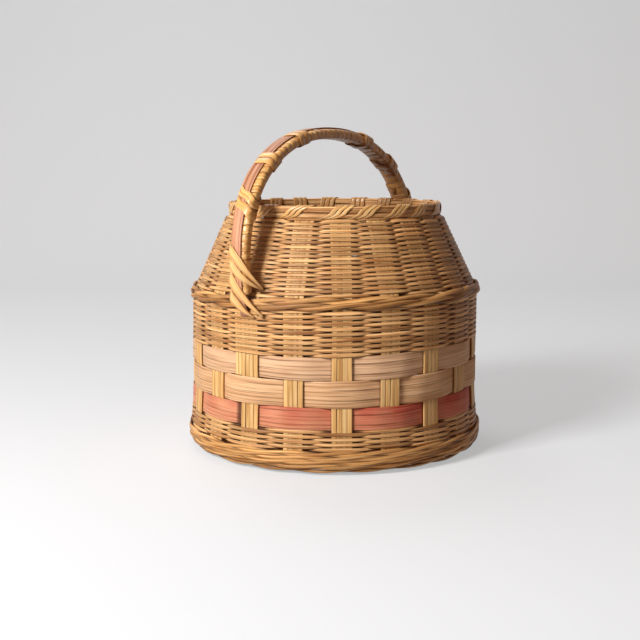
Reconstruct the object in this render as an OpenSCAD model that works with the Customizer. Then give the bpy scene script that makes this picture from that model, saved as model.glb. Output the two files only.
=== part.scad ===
// Open fishing creel of split bamboo with a lashed hoop handle.
// Millimetres, +Z up, origin at the centre of the flat underside.
// The hoop handle stands in the XZ plane, its feet at -X and +X.
// Twenty flat ribs climb from the base to the rim. Thin weavers and three wide
// bands pass over one rib and under the next.

/* [Wall] */
// Radius of the ribs' middle plane along the straight body
body_r = 137.2; // [110:0.2:170]
// Radius of the ribs' middle plane where the foot bulges most
foot_r = 139.6; // [112:0.2:175]
// Height of that bulge above the floor
foot_z = 14; // [10:0.5:24]
// Distance that a rib runs inwards while it turns under the base
foot_turn = 16; // [10:0.5:24]
// Height where the foot has drawn in to the straight body
waist_z = 58; // [40:1:80]
// Radius of the ribs' middle plane where the shoulder meets the neck
neck_r = 104.6; // [80:0.2:130]
// Rounding of the bend between body and shoulder
shoulder_bend = 4; // [2:0.5:8]

/* [Ribs] */
// Number of ribs, a multiple of four so that the weave closes and the feet match
rib_count = 20; // [12:4:28]
// Width of a rib
rib_w = 18; // [10:0.2:20]
// Thickness of a rib
rib_t = 1.1; // [0.8:0.05:2]
// Splints that lie side by side in one rib
splint_count = 4; // [2:1:5]
// Step in height between neighbouring splints of a rib
splint_step = 0.2; // [0.1:0.05:0.4]
// Turn of the ribs from the handle's plane, in degrees
rib_turn = 1.5; // [0:0.1:3]

/* [Weave] */
// Radial thickness of a thin weaver
weaver_t = 1.2; // [0.8:0.05:2]
// Height of one thin row on the upright wall
row_pitch = 2.25; // [1.8:0.05:3.5]
// Height of one thin row on the leaning shoulder
shoulder_pitch = 1.95; // [1.6:0.05:3]
// Bite of one thin row into the next where they are packed together
row_bite = 0.06; // [0.04:0.01:0.12]
// Thin rows between the foot twining and the lower band
foot_rows = 8; // [4:1:12]
// Thin rows between the upper band and the ridge
middle_rows = 18; // [8:1:24]
// Thin rows on the shoulder
shoulder_rows = 32; // [12:1:40]
// Length that a weaver stays straight past a rib's edge
straight_past_rib = 1; // [0.5:0.1:2]
// Clearance between a weaver and the rib it crosses
weave_gap = 0.15; // [0.1:0.05:0.4]
// Clearance between one zone of the wall and the next, in height
zone_gap = 0.4; // [0.2:0.05:1]

/* [Bands] */
// Height of the lower, pink band
lower_band_h = 20.2; // [12:0.2:30]
// Height of the middle band
middle_band_h = 24.2; // [12:0.2:30]
// Height of the upper band
upper_band_h = 20.8; // [12:0.2:30]
// Thickness of a band's strip
band_t = 1.3; // [0.8:0.05:2]

/* [Twining] */
// Height of the lowest twined row above the floor
twine_z = 3.4; // [2.6:0.1:6]
// Height of one twined row at the foot
foot_twine_pitch = 3.65; // [2.8:0.05:5]
// Twined rows at the foot
foot_twine_rows = 5; // [2:1:6]
// Thickness of a twining strand
twine_t = 2.3; // [1.5:0.1:4]
// Swing of a twined strand as it passes the next
twine_swing = 0.8; // [0.2:0.1:1]
// Height of one twined row at the ridge
ridge_pitch = 4.4; // [3:0.1:6]
// Twined rows at the ridge
ridge_rows = 2; // [1:1:3]
// Thickness of a ridge strand
ridge_t = 2.9; // [2:0.1:5]

/* [Rim] */
// Distance that the rim's wraps stand inside the neck
rim_set_in = 1.4; // [0.5:0.1:8]
// Height of the hoops that grip the ribs
hoop_h = 8.6; // [6:0.2:14]
// Thickness of a hoop
hoop_t = 1.1; // [0.8:0.1:2]
// Thickness of the strip on top of the hoops
rim_strip_t = 1.2; // [0.8:0.1:2]
// Width of a rim wrap
rim_wrap_w = 4; // [2.5:0.1:6]
// Thickness of a rim wrap
rim_wrap_t = 0.9; // [0.6:0.05:1.5]
// Lean of a rim wrap from upright, in degrees
rim_wrap_lean = 30; // [10:1:40]
// Clearance inside a rim wrap
rim_wrap_gap = 0.35; // [0.2:0.05:0.6]
// Height over which the ribs bend into the rim
rim_bend_h = 3.7; // [2:0.1:8]

/* [Base] */
// Radius of the plaited mat in the middle of the base
mat_r = 59; // [35:1:90]
// Distance that the mat's upper strips reach past its lower ones
mat_lap = 5; // [2:0.5:10]
// Radial pitch of the rounds woven on the base
base_pitch = 3.2; // [2:0.1:5]
// Thickness of those rounds
base_weave_t = 2; // [1.2:0.1:3]
// Depth of the groove between two rounds
base_groove = 0.6; // [0.2:0.1:1]
// Clearance between the layers of the base
base_gap = 0.15; // [0.1:0.05:0.4]
// Rounds that turn up the wall
turn_rounds = 5; // [3:1:8]
// How far those rounds turn up, in degrees
turn_up = 60; // [30:5:75]

/* [Handle] */
// Distance that a leg's middle line stands outside the body's ribs
leg_out = 5; // [4.5:0.1:10]
// Height where the hoop's arch starts
hoop_spring_z = 178; // [160:0.5:220]
// Rise of the arch above that height
hoop_rise = 121.6; // [80:0.2:180]
// Squareness of the arch: 2 is an ellipse
hoop_power = 2.2; // [2:0.1:3]
// Lean of the hoop towards +Y, in degrees
hoop_lean = 3; // [0:0.5:5]
// Width of the handle's core
core_w = 17; // [12:0.2:24]
// Thickness of the handle's core
core_t = 7.6; // [5:0.2:12]
// Straight pieces in the drawn arch
arch_steps = 30; // [16:2:48]
// Width of one wrap round the handle
wrap_w = 6.4; // [4:0.1:9]
// Thickness of a wrap
wrap_t = 0.9; // [0.6:0.05:1.5]
// Gap from one wrap to the next
wrap_space = 0.6; // [0.3:0.05:1.5]
// Clearance inside a wrap
wrap_gap = 0.3; // [0.2:0.05:0.6]
// Width of the leader strip along the handle's back
leader_w = 13.4; // [8:0.2:16]
// Thickness of the leader strip
leader_t = 1.2; // [0.8:0.05:2]
// Sideways place of the leader strip's middle
leader_y = 2.6; // [0:0.1:4]
// Width of a strap that crosses over the leader
strap_w = 7; // [4:0.1:10]
// Thickness of a strap
strap_t = 1; // [0.6:0.05:1.5]
// Width of a tail that runs down beside a foot's rib
tail_w = 7; // [4:0.2:9]
// Clearance between a tail and its rib
tail_gap = 0.3; // [0.2:0.05:0.6]
// Width of a foot lashing
lashing_w = 8; // [5:0.2:10]
// Lean of a foot lashing from level, in degrees
lashing_lean = 50; // [40:1:60]

/* [Hidden] */
rib_step = 360 / rib_count;
rib_names = [for (k = [1 : rib_count]) str("rib_", k < 10 ? "0" : "", k)];

// Colours of the old bamboo
straw = [0.86, 0.70, 0.43];
honey = [0.78, 0.58, 0.33];
tan = [0.72, 0.55, 0.36];
mauve = [0.66, 0.55, 0.47];
salmon = [0.85, 0.52, 0.42];
rose = [0.74, 0.50, 0.36];

// Heights of the wall's zones, each one set on the one below
foot_weave_z = twine_z + foot_twine_rows * foot_twine_pitch + zone_gap;
lower_band_z = foot_weave_z + foot_rows * row_pitch + zone_gap;
middle_band_z = lower_band_z + lower_band_h + zone_gap;
upper_band_z = middle_band_z + middle_band_h + zone_gap;
middle_weave_z = upper_band_z + upper_band_h + zone_gap;
ridge_z = middle_weave_z + middle_rows * row_pitch + zone_gap;
shoulder_weave_z = ridge_z + ridge_rows * ridge_pitch + zone_gap;
neck_z = shoulder_weave_z + shoulder_rows * shoulder_pitch;

// The wall bends at the first ridge row
bend_z = ridge_z + shoulder_bend / 2;
shoulder_slope = (body_r - neck_r) / (neck_z - bend_z);

// Distance from a rib's middle plane to the back of its prouder splints
rib_lie = (rib_t + splint_step) / 2;

// Rim: hoops and wraps stacked outwards from the ribs' middle plane
rim_out_r = neck_r - rim_set_in;
outer_hoop_r = rim_out_r - rim_wrap_t - rim_wrap_gap - hoop_t;
rib_back_r = sqrt(pow(outer_hoop_r - weave_gap, 2) - pow(rib_w / 2, 2));
rim_mid_r = rib_back_r - rib_lie;
inner_hoop_r = rim_mid_r - rib_t / 2 - weave_gap - hoop_t;
rim_z = neck_z + zone_gap / 2 + rim_bend_h;
rim_strip_z = rim_z + hoop_h + weave_gap;
rim_stack_h = hoop_h + weave_gap + rim_strip_t;
rib_top_z = rim_z + hoop_h;

// Base: the ribs lie on the floor, the rounds lie on the ribs
rib_inner_r = mat_r + tail_gap * 2;
base_weave_z = rib_lie + rib_t / 2 + base_gap;
base_weave_in_r = mat_r + mat_lap + tail_gap * 2;
base_weave_out_r = foot_r - foot_turn;
mat_pitch = rib_w + tail_gap * 2;

// Radius of the ribs' middle plane at height z, foot and body
function turn_r(z) = foot_r - foot_turn
    * (1 - sqrt(max(0, 1 - pow((foot_z - z) / (foot_z - rib_lie), 2))));
function drawn_in_r(z) = body_r + (foot_r - body_r)
    * (1 + cos(180 * min(1, (z - foot_z) / (waist_z - foot_z)))) / 2;
function shoulder_r(z) = body_r - shoulder_slope * (z - bend_z);
function wall_r(z) = z < foot_z ? turn_r(z) : z < bend_z ? drawn_in_r(z) : shoulder_r(z);

// Middle of a strip's place on the leaning wall, and how far the wall strays from it
function place_r(z, h) = (wall_r(z) + wall_r(z + h)) / 2;
function stray_r(z, h) = abs(wall_r(z) - wall_r(z + h)) / 2;
function rib_half(z, h) = rib_lie * sqrt(1 + pow(2 * stray_r(z, h) / h, 2));

// A point given outwards and sideways in the frame of rib k
function rib_angle(k) = rib_turn + k * rib_step;
function from_rib(k, p) = let (a = rib_angle(k))
    [p[0] * cos(a) - p[1] * sin(a), p[0] * sin(a) + p[1] * cos(a)];

// The two ribs at the handle's feet are wider by the tail beside them
function at_foot(k) = k % (rib_count / 2) == 0;
function left_edge(k) = -rib_w / 2 - straight_past_rib - (at_foot(k) ? tail_w + tail_gap : 0);
function right_edge() = rib_w / 2 + straight_past_rib;

// Outline of a strip that passes outside one rib and inside the next
function woven_ring(mid_r, swing, phase, side) = [
    for (k = [0 : rib_count - 1], y = [left_edge(k), right_edge()])
        from_rib(k, [mid_r + ((k + phase) % 2 == 0 ? swing : -swing) + side, y])];

module woven_strip(mid_r, swing, phase, t, h)
    linear_extrude(h)
        difference() {
            polygon(woven_ring(mid_r, swing, phase, t / 2));
            polygon(woven_ring(mid_r, swing, phase, -t / 2));
        }

// Swing that carries a strip of this height clear of the leaning rib
function swing_at(z, t, h) = t / 2 + rib_half(z, h) + stray_r(z, h) + weave_gap;

// One packed pile of thin rows: each row presses on the next between the ribs
module thin_rows(z, rows, pitch)
    for (i = [0 : rows - 1]) {
        row_z = z + i * pitch;
        translate([0, 0, row_z])
            woven_strip(place_r(row_z, pitch), swing_at(row_z, weaver_t, pitch),
                        i % 2, weaver_t, pitch + (i < rows - 1 ? row_bite : 0));
    }

module wide_band(z, h, phase)
    translate([0, 0, z])
        woven_strip(place_r(z, h), swing_at(z, band_t, h), phase, band_t, h);

// Strands that lie outside every rib and swing past each other
module twined_rows(z, rows, pitch, t)
    for (i = [0 : rows - 1]) {
        row_z = z + i * pitch;
        lie_r = place_r(row_z, pitch) + stray_r(row_z, pitch) + rib_half(row_z, pitch) + weave_gap;
        translate([0, 0, row_z])
            woven_strip(lie_r + twine_swing + t / 2, twine_swing, i % 2, t,
                        pitch + (i < rows - 1 ? row_bite : 0));
    }

// A point of the turn from the base up the wall, at angle a
function turn_point(a) = [foot_r - foot_turn * (1 - sin(a)), foot_z - (foot_z - rib_lie) * cos(a)];

// Middle line of a rib as outward distance and height, from the base to the rim
rib_line = concat(
    [[rib_inner_r, rib_lie]],
    [for (a = [0 : 15 : 75]) turn_point(a)],
    [for (s = [0 : 1 / 3 : 1]) let (z = foot_z + s * (waist_z - foot_z)) [drawn_in_r(z), z]],
    [[body_r, bend_z - shoulder_bend],
     [body_r - shoulder_slope * shoulder_bend / 8, bend_z],
     [shoulder_r(bend_z + shoulder_bend), bend_z + shoulder_bend],
     [neck_r, neck_z],
     [rim_mid_r, rim_z - zone_gap / 2],
     [rim_mid_r, rib_top_z]]);

// Unit normal of a line at point i, to its right-hand side
function unit(v) = v / norm(v);
function line_normal(line, i) = let (
    a = line[max(i - 1, 0)], b = line[min(i + 1, len(line) - 1)], d = unit(b - a)) [d[1], -d[0]];
function beside(line, d) = [for (i = [0 : len(line) - 1]) line[i] + d * line_normal(line, i)];
function reversed(list) = [for (i = [len(list) - 1 : -1 : 0]) list[i]];

// A strip of thickness t that follows a line, from side y0 to side y1
module strip_along(line, t, y0, y1, shift = 0)
    translate([0, y1, 0])
        rotate([90, 0, 0])
            linear_extrude(y1 - y0)
                polygon(concat(beside(line, shift + t / 2), reversed(beside(line, shift - t / 2))));

// Four splints side by side, each a little prouder or lower than its neighbour
module rib(k)
    color(k % 3 == 0 ? honey : straw)
        rotate([0, 0, rib_angle(k)])
            for (i = [0 : splint_count - 1]) {
                splint_w = rib_w / splint_count;
                y = -rib_w / 2 + i * splint_w;
                strip_along(rib_line, rib_t, y, y + splint_w + (i < splint_count - 1 ? row_bite : 0),
                            i % 2 == 0 ? splint_step / 2 : 0);
            }

module foot_twine()
    color(honey) twined_rows(twine_z, foot_twine_rows, foot_twine_pitch, twine_t);

module foot_weave()
    color(honey) thin_rows(foot_weave_z, foot_rows, row_pitch);

module lower_band()
    color(salmon) wide_band(lower_band_z, lower_band_h, 1);

module middle_band()
    color(tan) wide_band(middle_band_z, middle_band_h, 0);

module upper_band()
    color(mauve) wide_band(upper_band_z, upper_band_h, 1);

module middle_weave()
    color(honey) thin_rows(middle_weave_z, middle_rows, row_pitch);

module ridge_twine()
    color(honey) twined_rows(ridge_z, ridge_rows, ridge_pitch, ridge_t);

module shoulder_weave()
    color(straw) thin_rows(shoulder_weave_z, shoulder_rows, shoulder_pitch);

// A hoop of bent strip between two radii
module hoop(inner_r, outer_r, z, h)
    translate([0, 0, z])
        rotate_extrude($fn = 128)
            translate([inner_r, 0])
                square([outer_r - inner_r, h]);

module rim_outer_hoop()
    color(tan) hoop(outer_hoop_r, outer_hoop_r + hoop_t, rim_z, hoop_h);

module rim_inner_hoop()
    color(tan) hoop(inner_hoop_r, inner_hoop_r + hoop_t, rim_z, hoop_h);

module rim_top_strip()
    color(honey) hoop(inner_hoop_r, outer_hoop_r + hoop_t, rim_strip_z, rim_strip_t);

// Each wrap is a leaning loop round the rim, between two ribs
wrap_loop_h = 2 * (rim_stack_h / 2 + weave_gap + rim_wrap_w / 2 * sin(rim_wrap_lean)) / cos(rim_wrap_lean);
wrap_loop_in = inner_hoop_r - rim_wrap_gap;
wrap_loop_out = outer_hoop_r + hoop_t + rim_wrap_gap;

module rim_wraps()
    color(straw)
        for (k = [0 : rib_count - 1])
            rotate([0, 0, rib_angle(k) + rib_step / 2])
                translate([0, 0, rim_z + rim_stack_h / 2])
                    rotate([rim_wrap_lean, 0, 0])
                        rotate([90, 0, 0])
                            linear_extrude(rim_wrap_w, center = true)
                                difference() {
                                    translate([wrap_loop_in - rim_wrap_t, -wrap_loop_h / 2 - rim_wrap_t])
                                        square([wrap_loop_out - wrap_loop_in + 2 * rim_wrap_t,
                                                wrap_loop_h + 2 * rim_wrap_t]);
                                    translate([wrap_loop_in, -wrap_loop_h / 2])
                                        square([wrap_loop_out - wrap_loop_in, wrap_loop_h]);
                                }

// Strips laid side by side and cut to a round mat
module mat_layer(reach, z)
    translate([0, 0, z])
        linear_extrude(rib_t)
            for (i = [-floor((reach - rib_w / 2) / mat_pitch) : floor((reach - rib_w / 2) / mat_pitch)]) {
                far_y = abs(i) * mat_pitch + rib_w / 2;
                half_l = sqrt(max(1, reach * reach - far_y * far_y));
                translate([-half_l, i * mat_pitch - rib_w / 2])
                    square([2 * half_l, rib_w]);
            }

module base_mat_lower()
    color(tan) mat_layer(mat_r, 0);

module base_mat_upper()
    color(tan) rotate([0, 0, 90]) mat_layer(mat_r + mat_lap, base_weave_z);

// Rounds woven over the ribs' feet, which turn up the wall with them
base_rounds = floor((base_weave_out_r - base_weave_in_r) / base_pitch);
base_round_w = (base_weave_out_r - base_weave_in_r) / base_rounds;
base_lie = rib_t / 2 + base_gap;
base_line = concat(
    [for (i = [0 : base_rounds - 1], s = [0, 0.2, 0.8]) [base_weave_in_r + (i + s) * base_round_w, rib_lie]],
    [for (i = [0 : turn_rounds - 1], s = [0, 0.2, 0.8]) turn_point((i + s) * turn_up / turn_rounds)],
    [turn_point(turn_up)]);
function round_top(i) = base_weave_t - (i > 0 && i % 3 == 0 && i < len(base_line) - 1 ? base_groove : 0);

module base_weave()
    color(honey)
        rotate_extrude($fn = 128)
            polygon(concat(
                [for (i = [0 : len(base_line) - 1])
                    base_line[i] - base_lie * line_normal(base_line, i)],
                reversed([for (i = [0 : len(base_line) - 1])
                    base_line[i] - (base_lie + round_top(i)) * line_normal(base_line, i)])));

// Middle line of the hoop: two straight legs that stand on the ridge, and a squared arch
hoop_half_w = body_r + leg_out;
leg_foot_z = shoulder_weave_z + zone_gap;
function arch_point(a) = [
    -hoop_half_w * sign(cos(a)) * pow(abs(cos(a)), 2 / hoop_power),
    hoop_spring_z + hoop_rise * pow(sin(a), 2 / hoop_power)];
hoop_line = concat(
    [[-hoop_half_w, leg_foot_z]],
    [for (i = [0 : arch_steps]) arch_point(180 * i / arch_steps)],
    [[hoop_half_w, leg_foot_z]]);

// Distance along the hoop at each of its points
function run_lengths(line, i = 0, sum = 0) = i >= len(line) ? []
    : let (s = i == 0 ? 0 : sum + norm(line[i] - line[i - 1])) concat([s], run_lengths(line, i + 1, s));
hoop_runs = run_lengths(hoop_line);
hoop_length = hoop_runs[len(hoop_runs) - 1];
hoop_x = [for (i = [0 : len(hoop_line) - 1]) [hoop_runs[i], hoop_line[i][0]]];
hoop_z = [for (i = [0 : len(hoop_line) - 1]) [hoop_runs[i], hoop_line[i][1]]];
function hoop_at(s) = [lookup(s, hoop_x), lookup(s, hoop_z)];

// The whole hoop leans about the line through its feet
module leaning()
    translate([0, 0, leg_foot_z])
        rotate([-hoop_lean, 0, 0])
            translate([0, 0, -leg_foot_z])
                children();

module handle_core()
    color(tan) leaning() strip_along(hoop_line, core_t, -core_w / 2, core_w / 2);

// A square loop round the handle at distance s along it
module loop_at(s, w, inner_t, inner_w, out_shift, t) {
    d = hoop_at(s + w / 2) - hoop_at(s - w / 2);
    at = hoop_at(s);
    translate([at[0], 0, at[1]])
        rotate([0, -atan2(d[1], d[0]), 0])
            rotate([90, 0, 90])
                linear_extrude(w, center = true)
                    translate([0, out_shift])
                        difference() {
                            square([inner_w + 2 * t, inner_t + 2 * t], center = true);
                            square([inner_w, inner_t], center = true);
                        }
}

wrap_pitch = wrap_w + wrap_space;
wrap_count = floor(hoop_length / wrap_pitch);
wrap_lead = (hoop_length - (wrap_count - 1) * wrap_pitch) / 2;

module handle_wraps()
    color(straw) leaning()
        for (i = [0 : wrap_count - 1])
            loop_at(wrap_lead + i * wrap_pitch, wrap_w,
                    core_t + 2 * wrap_gap, core_w + 2 * wrap_gap, 0, wrap_t);

// The leader lies on the wraps, then draws in past the ridge
leader_shift = core_t / 2 + wrap_gap + wrap_t + wrap_gap + leader_t / 2;
ridge_out_r = body_r + rib_lie + 2 * weave_gap + 2 * twine_swing + ridge_t;
middle_out_r = body_r + swing_at(middle_weave_z, weaver_t, row_pitch) + weaver_t / 2;
leader_tail = [
    [-hoop_half_w - leader_shift, leg_foot_z],
    [-ridge_out_r - 2 * wrap_gap - leader_t / 2, ridge_z],
    [-middle_out_r - 2 * wrap_gap - leader_t / 2, ridge_z - ridge_pitch],
    [-middle_out_r - 2 * wrap_gap - leader_t / 2, ridge_z - 2 * ridge_pitch]];
function mirrored(line) = [for (p = line) [-p[0], p[1]]];
arch_back = [for (i = [1 : len(hoop_line) - 2]) hoop_line[i] - leader_shift * line_normal(hoop_line, i)];

module handle_leader()
    color(rose) leaning()
        strip_along(concat(reversed(leader_tail), arch_back, mirrored(leader_tail)), leader_t,
                    leader_y - leader_w / 2, leader_y + leader_w / 2);

// Straps cross over the leader in pairs at places along the hoop, as shares of its length
strap_places = [0.13, 0.3, 0.42, 0.58, 0.7, 0.87];
strap_in_t = core_t + 4 * wrap_gap + wrap_t * 2 + leader_t + wrap_gap * 2;
strap_in_w = core_w + 2 * wrap_gap + 2 * wrap_t + 2 * wrap_gap;

module handle_straps()
    color(straw) leaning()
        for (place = strap_places, side = [-1, 1])
            loop_at(place * hoop_length + side * (strap_w + wrap_space) / 2, strap_w,
                    strap_in_t, strap_in_w, (leader_t + wrap_gap) / 2, strap_t);

// A foot's own frame: outwards from the axis is +X
module at_left_foot() rotate([0, 0, 180]) children();

// A tail runs down inside the weave beside the foot's rib
module tail()
    rotate([0, 0, rib_turn])
        strip_along([[body_r, upper_band_z], [body_r, (upper_band_z + ridge_z) / 2],
                     [body_r, bend_z - shoulder_bend]], rib_t,
                    -rib_w / 2 - tail_gap - tail_w, -rib_w / 2 - tail_gap);

module handle_tail_left()
    color(tan) at_left_foot() tail();

module handle_tail_right()
    color(tan) tail();

// Lashings cross a leg aslant, in front of the leader, and the lower one ends on the wall
lashing_in_r = hoop_half_w + leader_shift + leader_t / 2 + wrap_gap + strap_t;
lashing_end_r = middle_out_r + 2 * wrap_gap + strap_t;
lashing_half_y = strap_in_w / 2 + strap_t;
lashing_bend_y = core_w / 2;

// A flat strip that falls from -Y to +Y, through points given outwards and along Y
module lashing_strip(z, line)
    translate([0, 0, z])
        rotate([-lashing_lean, 0, 0])
            linear_extrude(lashing_w, center = true)
                polygon(let (path = [for (p = line) [p[0], p[1] / cos(lashing_lean)]])
                    concat(beside(path, strap_t / 2), reversed(beside(path, -strap_t / 2))));

module lashing() {
    lashing_strip(leg_foot_z + lashing_half_y * tan(lashing_lean) + 2 * lashing_w,
                  [[lashing_in_r, -lashing_half_y], [lashing_in_r, lashing_half_y]]);
    lashing_strip(leg_foot_z + lashing_w / 2,
                  [[lashing_in_r, -lashing_half_y], [lashing_in_r, lashing_bend_y],
                   [lashing_end_r, lashing_bend_y + lashing_half_y]]);
}

module lashing_left()
    color(straw) at_left_foot() lashing();

module lashing_right()
    color(straw) lashing();

for (k = [0 : rib_count - 1])
    rib(k);
foot_twine();
foot_weave();
lower_band();
middle_band();
upper_band();
middle_weave();
ridge_twine();
shoulder_weave();
rim_outer_hoop();
rim_inner_hoop();
rim_top_strip();
rim_wraps();
base_mat_lower();
base_mat_upper();
base_weave();
handle_core();
handle_leader();
handle_wraps();
handle_straps();
handle_tail_left();
handle_tail_right();
lashing_left();
lashing_right();
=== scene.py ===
"""Looks of an open fishing creel of split bamboo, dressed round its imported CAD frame.

The classes hold their sizes in millimetres and their angles in degrees; meshes are written in metres.
The creel's axis is Z and its hoop handle stands in the XZ plane, as in the frame.
"""

import logging
import math
from dataclasses import dataclass, field
from enum import Enum

import bpy
import numpy as np
from mathutils import Euler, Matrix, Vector


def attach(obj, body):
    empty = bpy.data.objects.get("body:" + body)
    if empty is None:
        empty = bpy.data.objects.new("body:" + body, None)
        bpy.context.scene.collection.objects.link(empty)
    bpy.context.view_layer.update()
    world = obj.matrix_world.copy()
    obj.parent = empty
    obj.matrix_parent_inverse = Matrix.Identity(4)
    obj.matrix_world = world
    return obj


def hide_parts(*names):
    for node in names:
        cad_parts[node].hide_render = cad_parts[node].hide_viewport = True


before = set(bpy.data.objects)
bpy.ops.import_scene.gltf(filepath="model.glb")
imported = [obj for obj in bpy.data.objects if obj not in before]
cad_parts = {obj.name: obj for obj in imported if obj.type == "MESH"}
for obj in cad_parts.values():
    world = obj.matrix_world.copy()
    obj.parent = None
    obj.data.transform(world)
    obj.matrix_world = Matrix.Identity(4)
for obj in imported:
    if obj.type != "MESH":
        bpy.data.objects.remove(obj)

Array = np.ndarray
Colour = tuple[float, float, float]

MM = 0.001
# Values per strip: its tone, its painted shade, and its stain with painted shade.
STRIP_VALUES = ("tone", "painted_shade", "mark")
log = logging.getLogger("creel")


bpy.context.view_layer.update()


class Edge(Enum):
    """How a strip's cross-section is rounded."""

    OVAL = "oval"
    FLAT = "flat"


@dataclass(frozen=True)
class Wall:
    """The round wall of the creel, as the radius of the ribs' middle surface at each height."""

    body_r: float = 137.2
    foot_r: float = 139.6
    foot_z: float = 14.0
    foot_turn: float = 16.0
    waist_z: float = 58.0
    bend_z: float = 149.75
    bend_soft: float = 1.6
    neck_r: float = 104.6
    neck_z: float = 219.35
    rim_r: float = 99.65
    rim_z: float = 223.0
    rib_count: int = 20
    rib_turn: float = 1.5
    rib_w: float = 18.0
    rib_lie: float = 0.65

    @property
    def step(self) -> float:
        """Angle from one rib to the next, in radians."""
        return 2.0 * math.pi / self.rib_count

    def rib_angle(self, k: int) -> float:
        """Angle of rib k round the axis, in radians."""
        return math.radians(self.rib_turn) + k * self.step

    def radius(self, z: Array) -> Array:
        """Radius of the wall at a height.

        The foot turns under on a quarter ellipse, draws in to the body by half a cosine wave,
        leans inwards above the bend by a straight slope whose start is rounded, and closes in
        to the rim on a short straight.

        Args:
            z: heights.

        Returns:
            The radii, in the shape of z.
        """
        z = np.asarray(z, float)
        low = np.clip((self.foot_z - z) / (self.foot_z - self.rib_lie), 0.0, 1.0)
        foot = self.foot_r - self.foot_turn * (1.0 - np.sqrt(1.0 - low**2))
        share = np.clip((z - self.foot_z) / (self.waist_z - self.foot_z), 0.0, 1.0)
        body = self.body_r + (self.foot_r - self.body_r) * (1.0 + np.cos(np.pi * share)) / 2.0
        slope = (self.body_r - self.neck_r) / (self.neck_z - self.bend_z)
        over = np.clip((z - self.bend_z) / self.bend_soft, -30.0, 200.0)
        lean = slope * self.bend_soft * np.log1p(np.exp(over))
        wall = np.where(z < self.foot_z, foot, body) - lean
        into_rim = np.clip((z - self.neck_z) / (self.rim_z - self.neck_z), 0.0, 1.0)
        return wall + into_rim * (self.rim_r - wall)

    def outward(self, z: Array) -> tuple[Array, Array]:
        """Outward normal of the wall at a height, from what its radius gains over one millimetre.

        Args:
            z: heights.

        Returns:
            Its part away from the axis and its part upwards.
        """
        rise = self.radius(np.asarray(z) + 0.5) - self.radius(np.asarray(z) - 0.5)
        size = np.sqrt(1.0 + rise**2)
        return 1.0 / size, -rise / size


WALL = Wall()


@dataclass(frozen=True)
class HandWork:
    """Small errors of hand work, the same for all that is woven, so that nothing comes apart."""

    tilt: float = 2.2
    tilt_side: float = -54.5
    swell: float = 0.7
    soften: float = 0.6
    rise: float = 0.6
    shoulder_z: float = 205.0
    rim_z: float = 232.0
    mat_r: float = 60.0

    def settle(self, points: Array) -> Array:
        """Moves points a little off their true places.

        The height gains a tilt, a cosine round the axis that is highest at tilt_side and fades
        at floor and shoulder, and two slow waves; the radius gains a sum of two slow waves that
        fades at floor and rim. Inside mat_r nothing moves.

        Args:
            points: places in millimetres, with x, y and z last.

        Returns:
            The moved places.
        """
        x, y, z = points[..., 0], points[..., 1], points[..., 2]
        turn = np.arctan2(y, x)
        body = np.clip(z / 40.0, 0.0, 1.0) * np.clip((self.shoulder_z - z) / 70.0, 0.0, 1.0)
        up = body * (self.tilt * np.cos(turn - math.radians(self.tilt_side))
                     + self.rise * np.sin(2.0 * turn + 1.0 + z / 35.0)
                     + 0.5 * self.rise * np.sin(5.0 * turn + z / 20.0))
        waves = np.sin(3.0 * turn + z / 45.0) + 0.5 * np.sin(7.0 * turn - z / 30.0)
        held = np.clip(z / 12.0, 0.0, 1.0) * np.clip((self.rim_z - z) / 30.0, 0.0, 1.0)
        out = held * self.swell * waves * self.soften
        far = np.sqrt(x**2 + y**2) + 1e-9
        near_wall = np.clip((far - self.mat_r) / 40.0, 0.0, 1.0)
        moved = points.copy()
        moved[..., 0] = x * (1.0 + out * near_wall / far)
        moved[..., 1] = y * (1.0 + out * near_wall / far)
        moved[..., 2] = z + up * near_wall
        return moved


HAND = HandWork()


def unit(vectors: Array) -> Array:
    """Returns the vectors at length one."""
    return vectors / np.maximum(np.linalg.norm(vectors, axis=-1, keepdims=True), 1e-12)


def ring(radius: Array, turn: Array, z: Array) -> Array:
    """Returns points at a radius, an angle in radians and a height."""
    radius, turn, z = np.broadcast_arrays(radius, turn, z)
    return np.stack([radius * np.cos(turn), radius * np.sin(turn), z], axis=-1)


def smooth_step(x: Array) -> Array:
    """Returns x eased from 0 to 1 by the cubic 3x^2 - 2x^3."""
    x = np.clip(x, 0.0, 1.0)
    return x * x * (3.0 - 2.0 * x)


def squared_off(x: Array, power: float) -> Array:
    """Returns x with its size raised to a power and its sign kept, as on a superellipse."""
    return np.sign(x) * np.abs(x) ** power


def full_turn(steps: int) -> Array:
    """Returns angles shared out evenly round the axis, in radians."""
    return np.arange(steps) * 2.0 * math.pi / steps


def section_angles(around: int) -> Array:
    """Returns the angles of the points round a strip's section, in radians from its outward side."""
    return (np.arange(around) + 0.5) * 2.0 * math.pi / around


def seam(around: int, depth: float, power: int = 6) -> Array:
    """Painted shade along a strip's two edges: depth times a power of the sideways share.

    Args:
        around: number of points round the section.
        depth: the painted shade at the very edge.
        power: how closely the painted shade keeps to the edges.

    Returns:
        One amount per section point, after two axes of length one.
    """
    return (depth * np.abs(np.sin(section_angles(around))) ** power)[None, None, :]


def leads(rng: np.random.Generator, count: int) -> Array:
    """Returns a random start of the grain for each strip, in millimetres."""
    return rng.uniform(0.0, 4000.0, count)


def over_under(rows: int, phase: int = 0) -> Array:
    """Returns 1 outside and -1 inside by turns, for each row at each rib."""
    row, rib = np.meshgrid(np.arange(rows), np.arange(WALL.rib_count), indexing="ij")
    return np.where((row + rib + phase) % 2 == 0, 1.0, -1.0)


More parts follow.
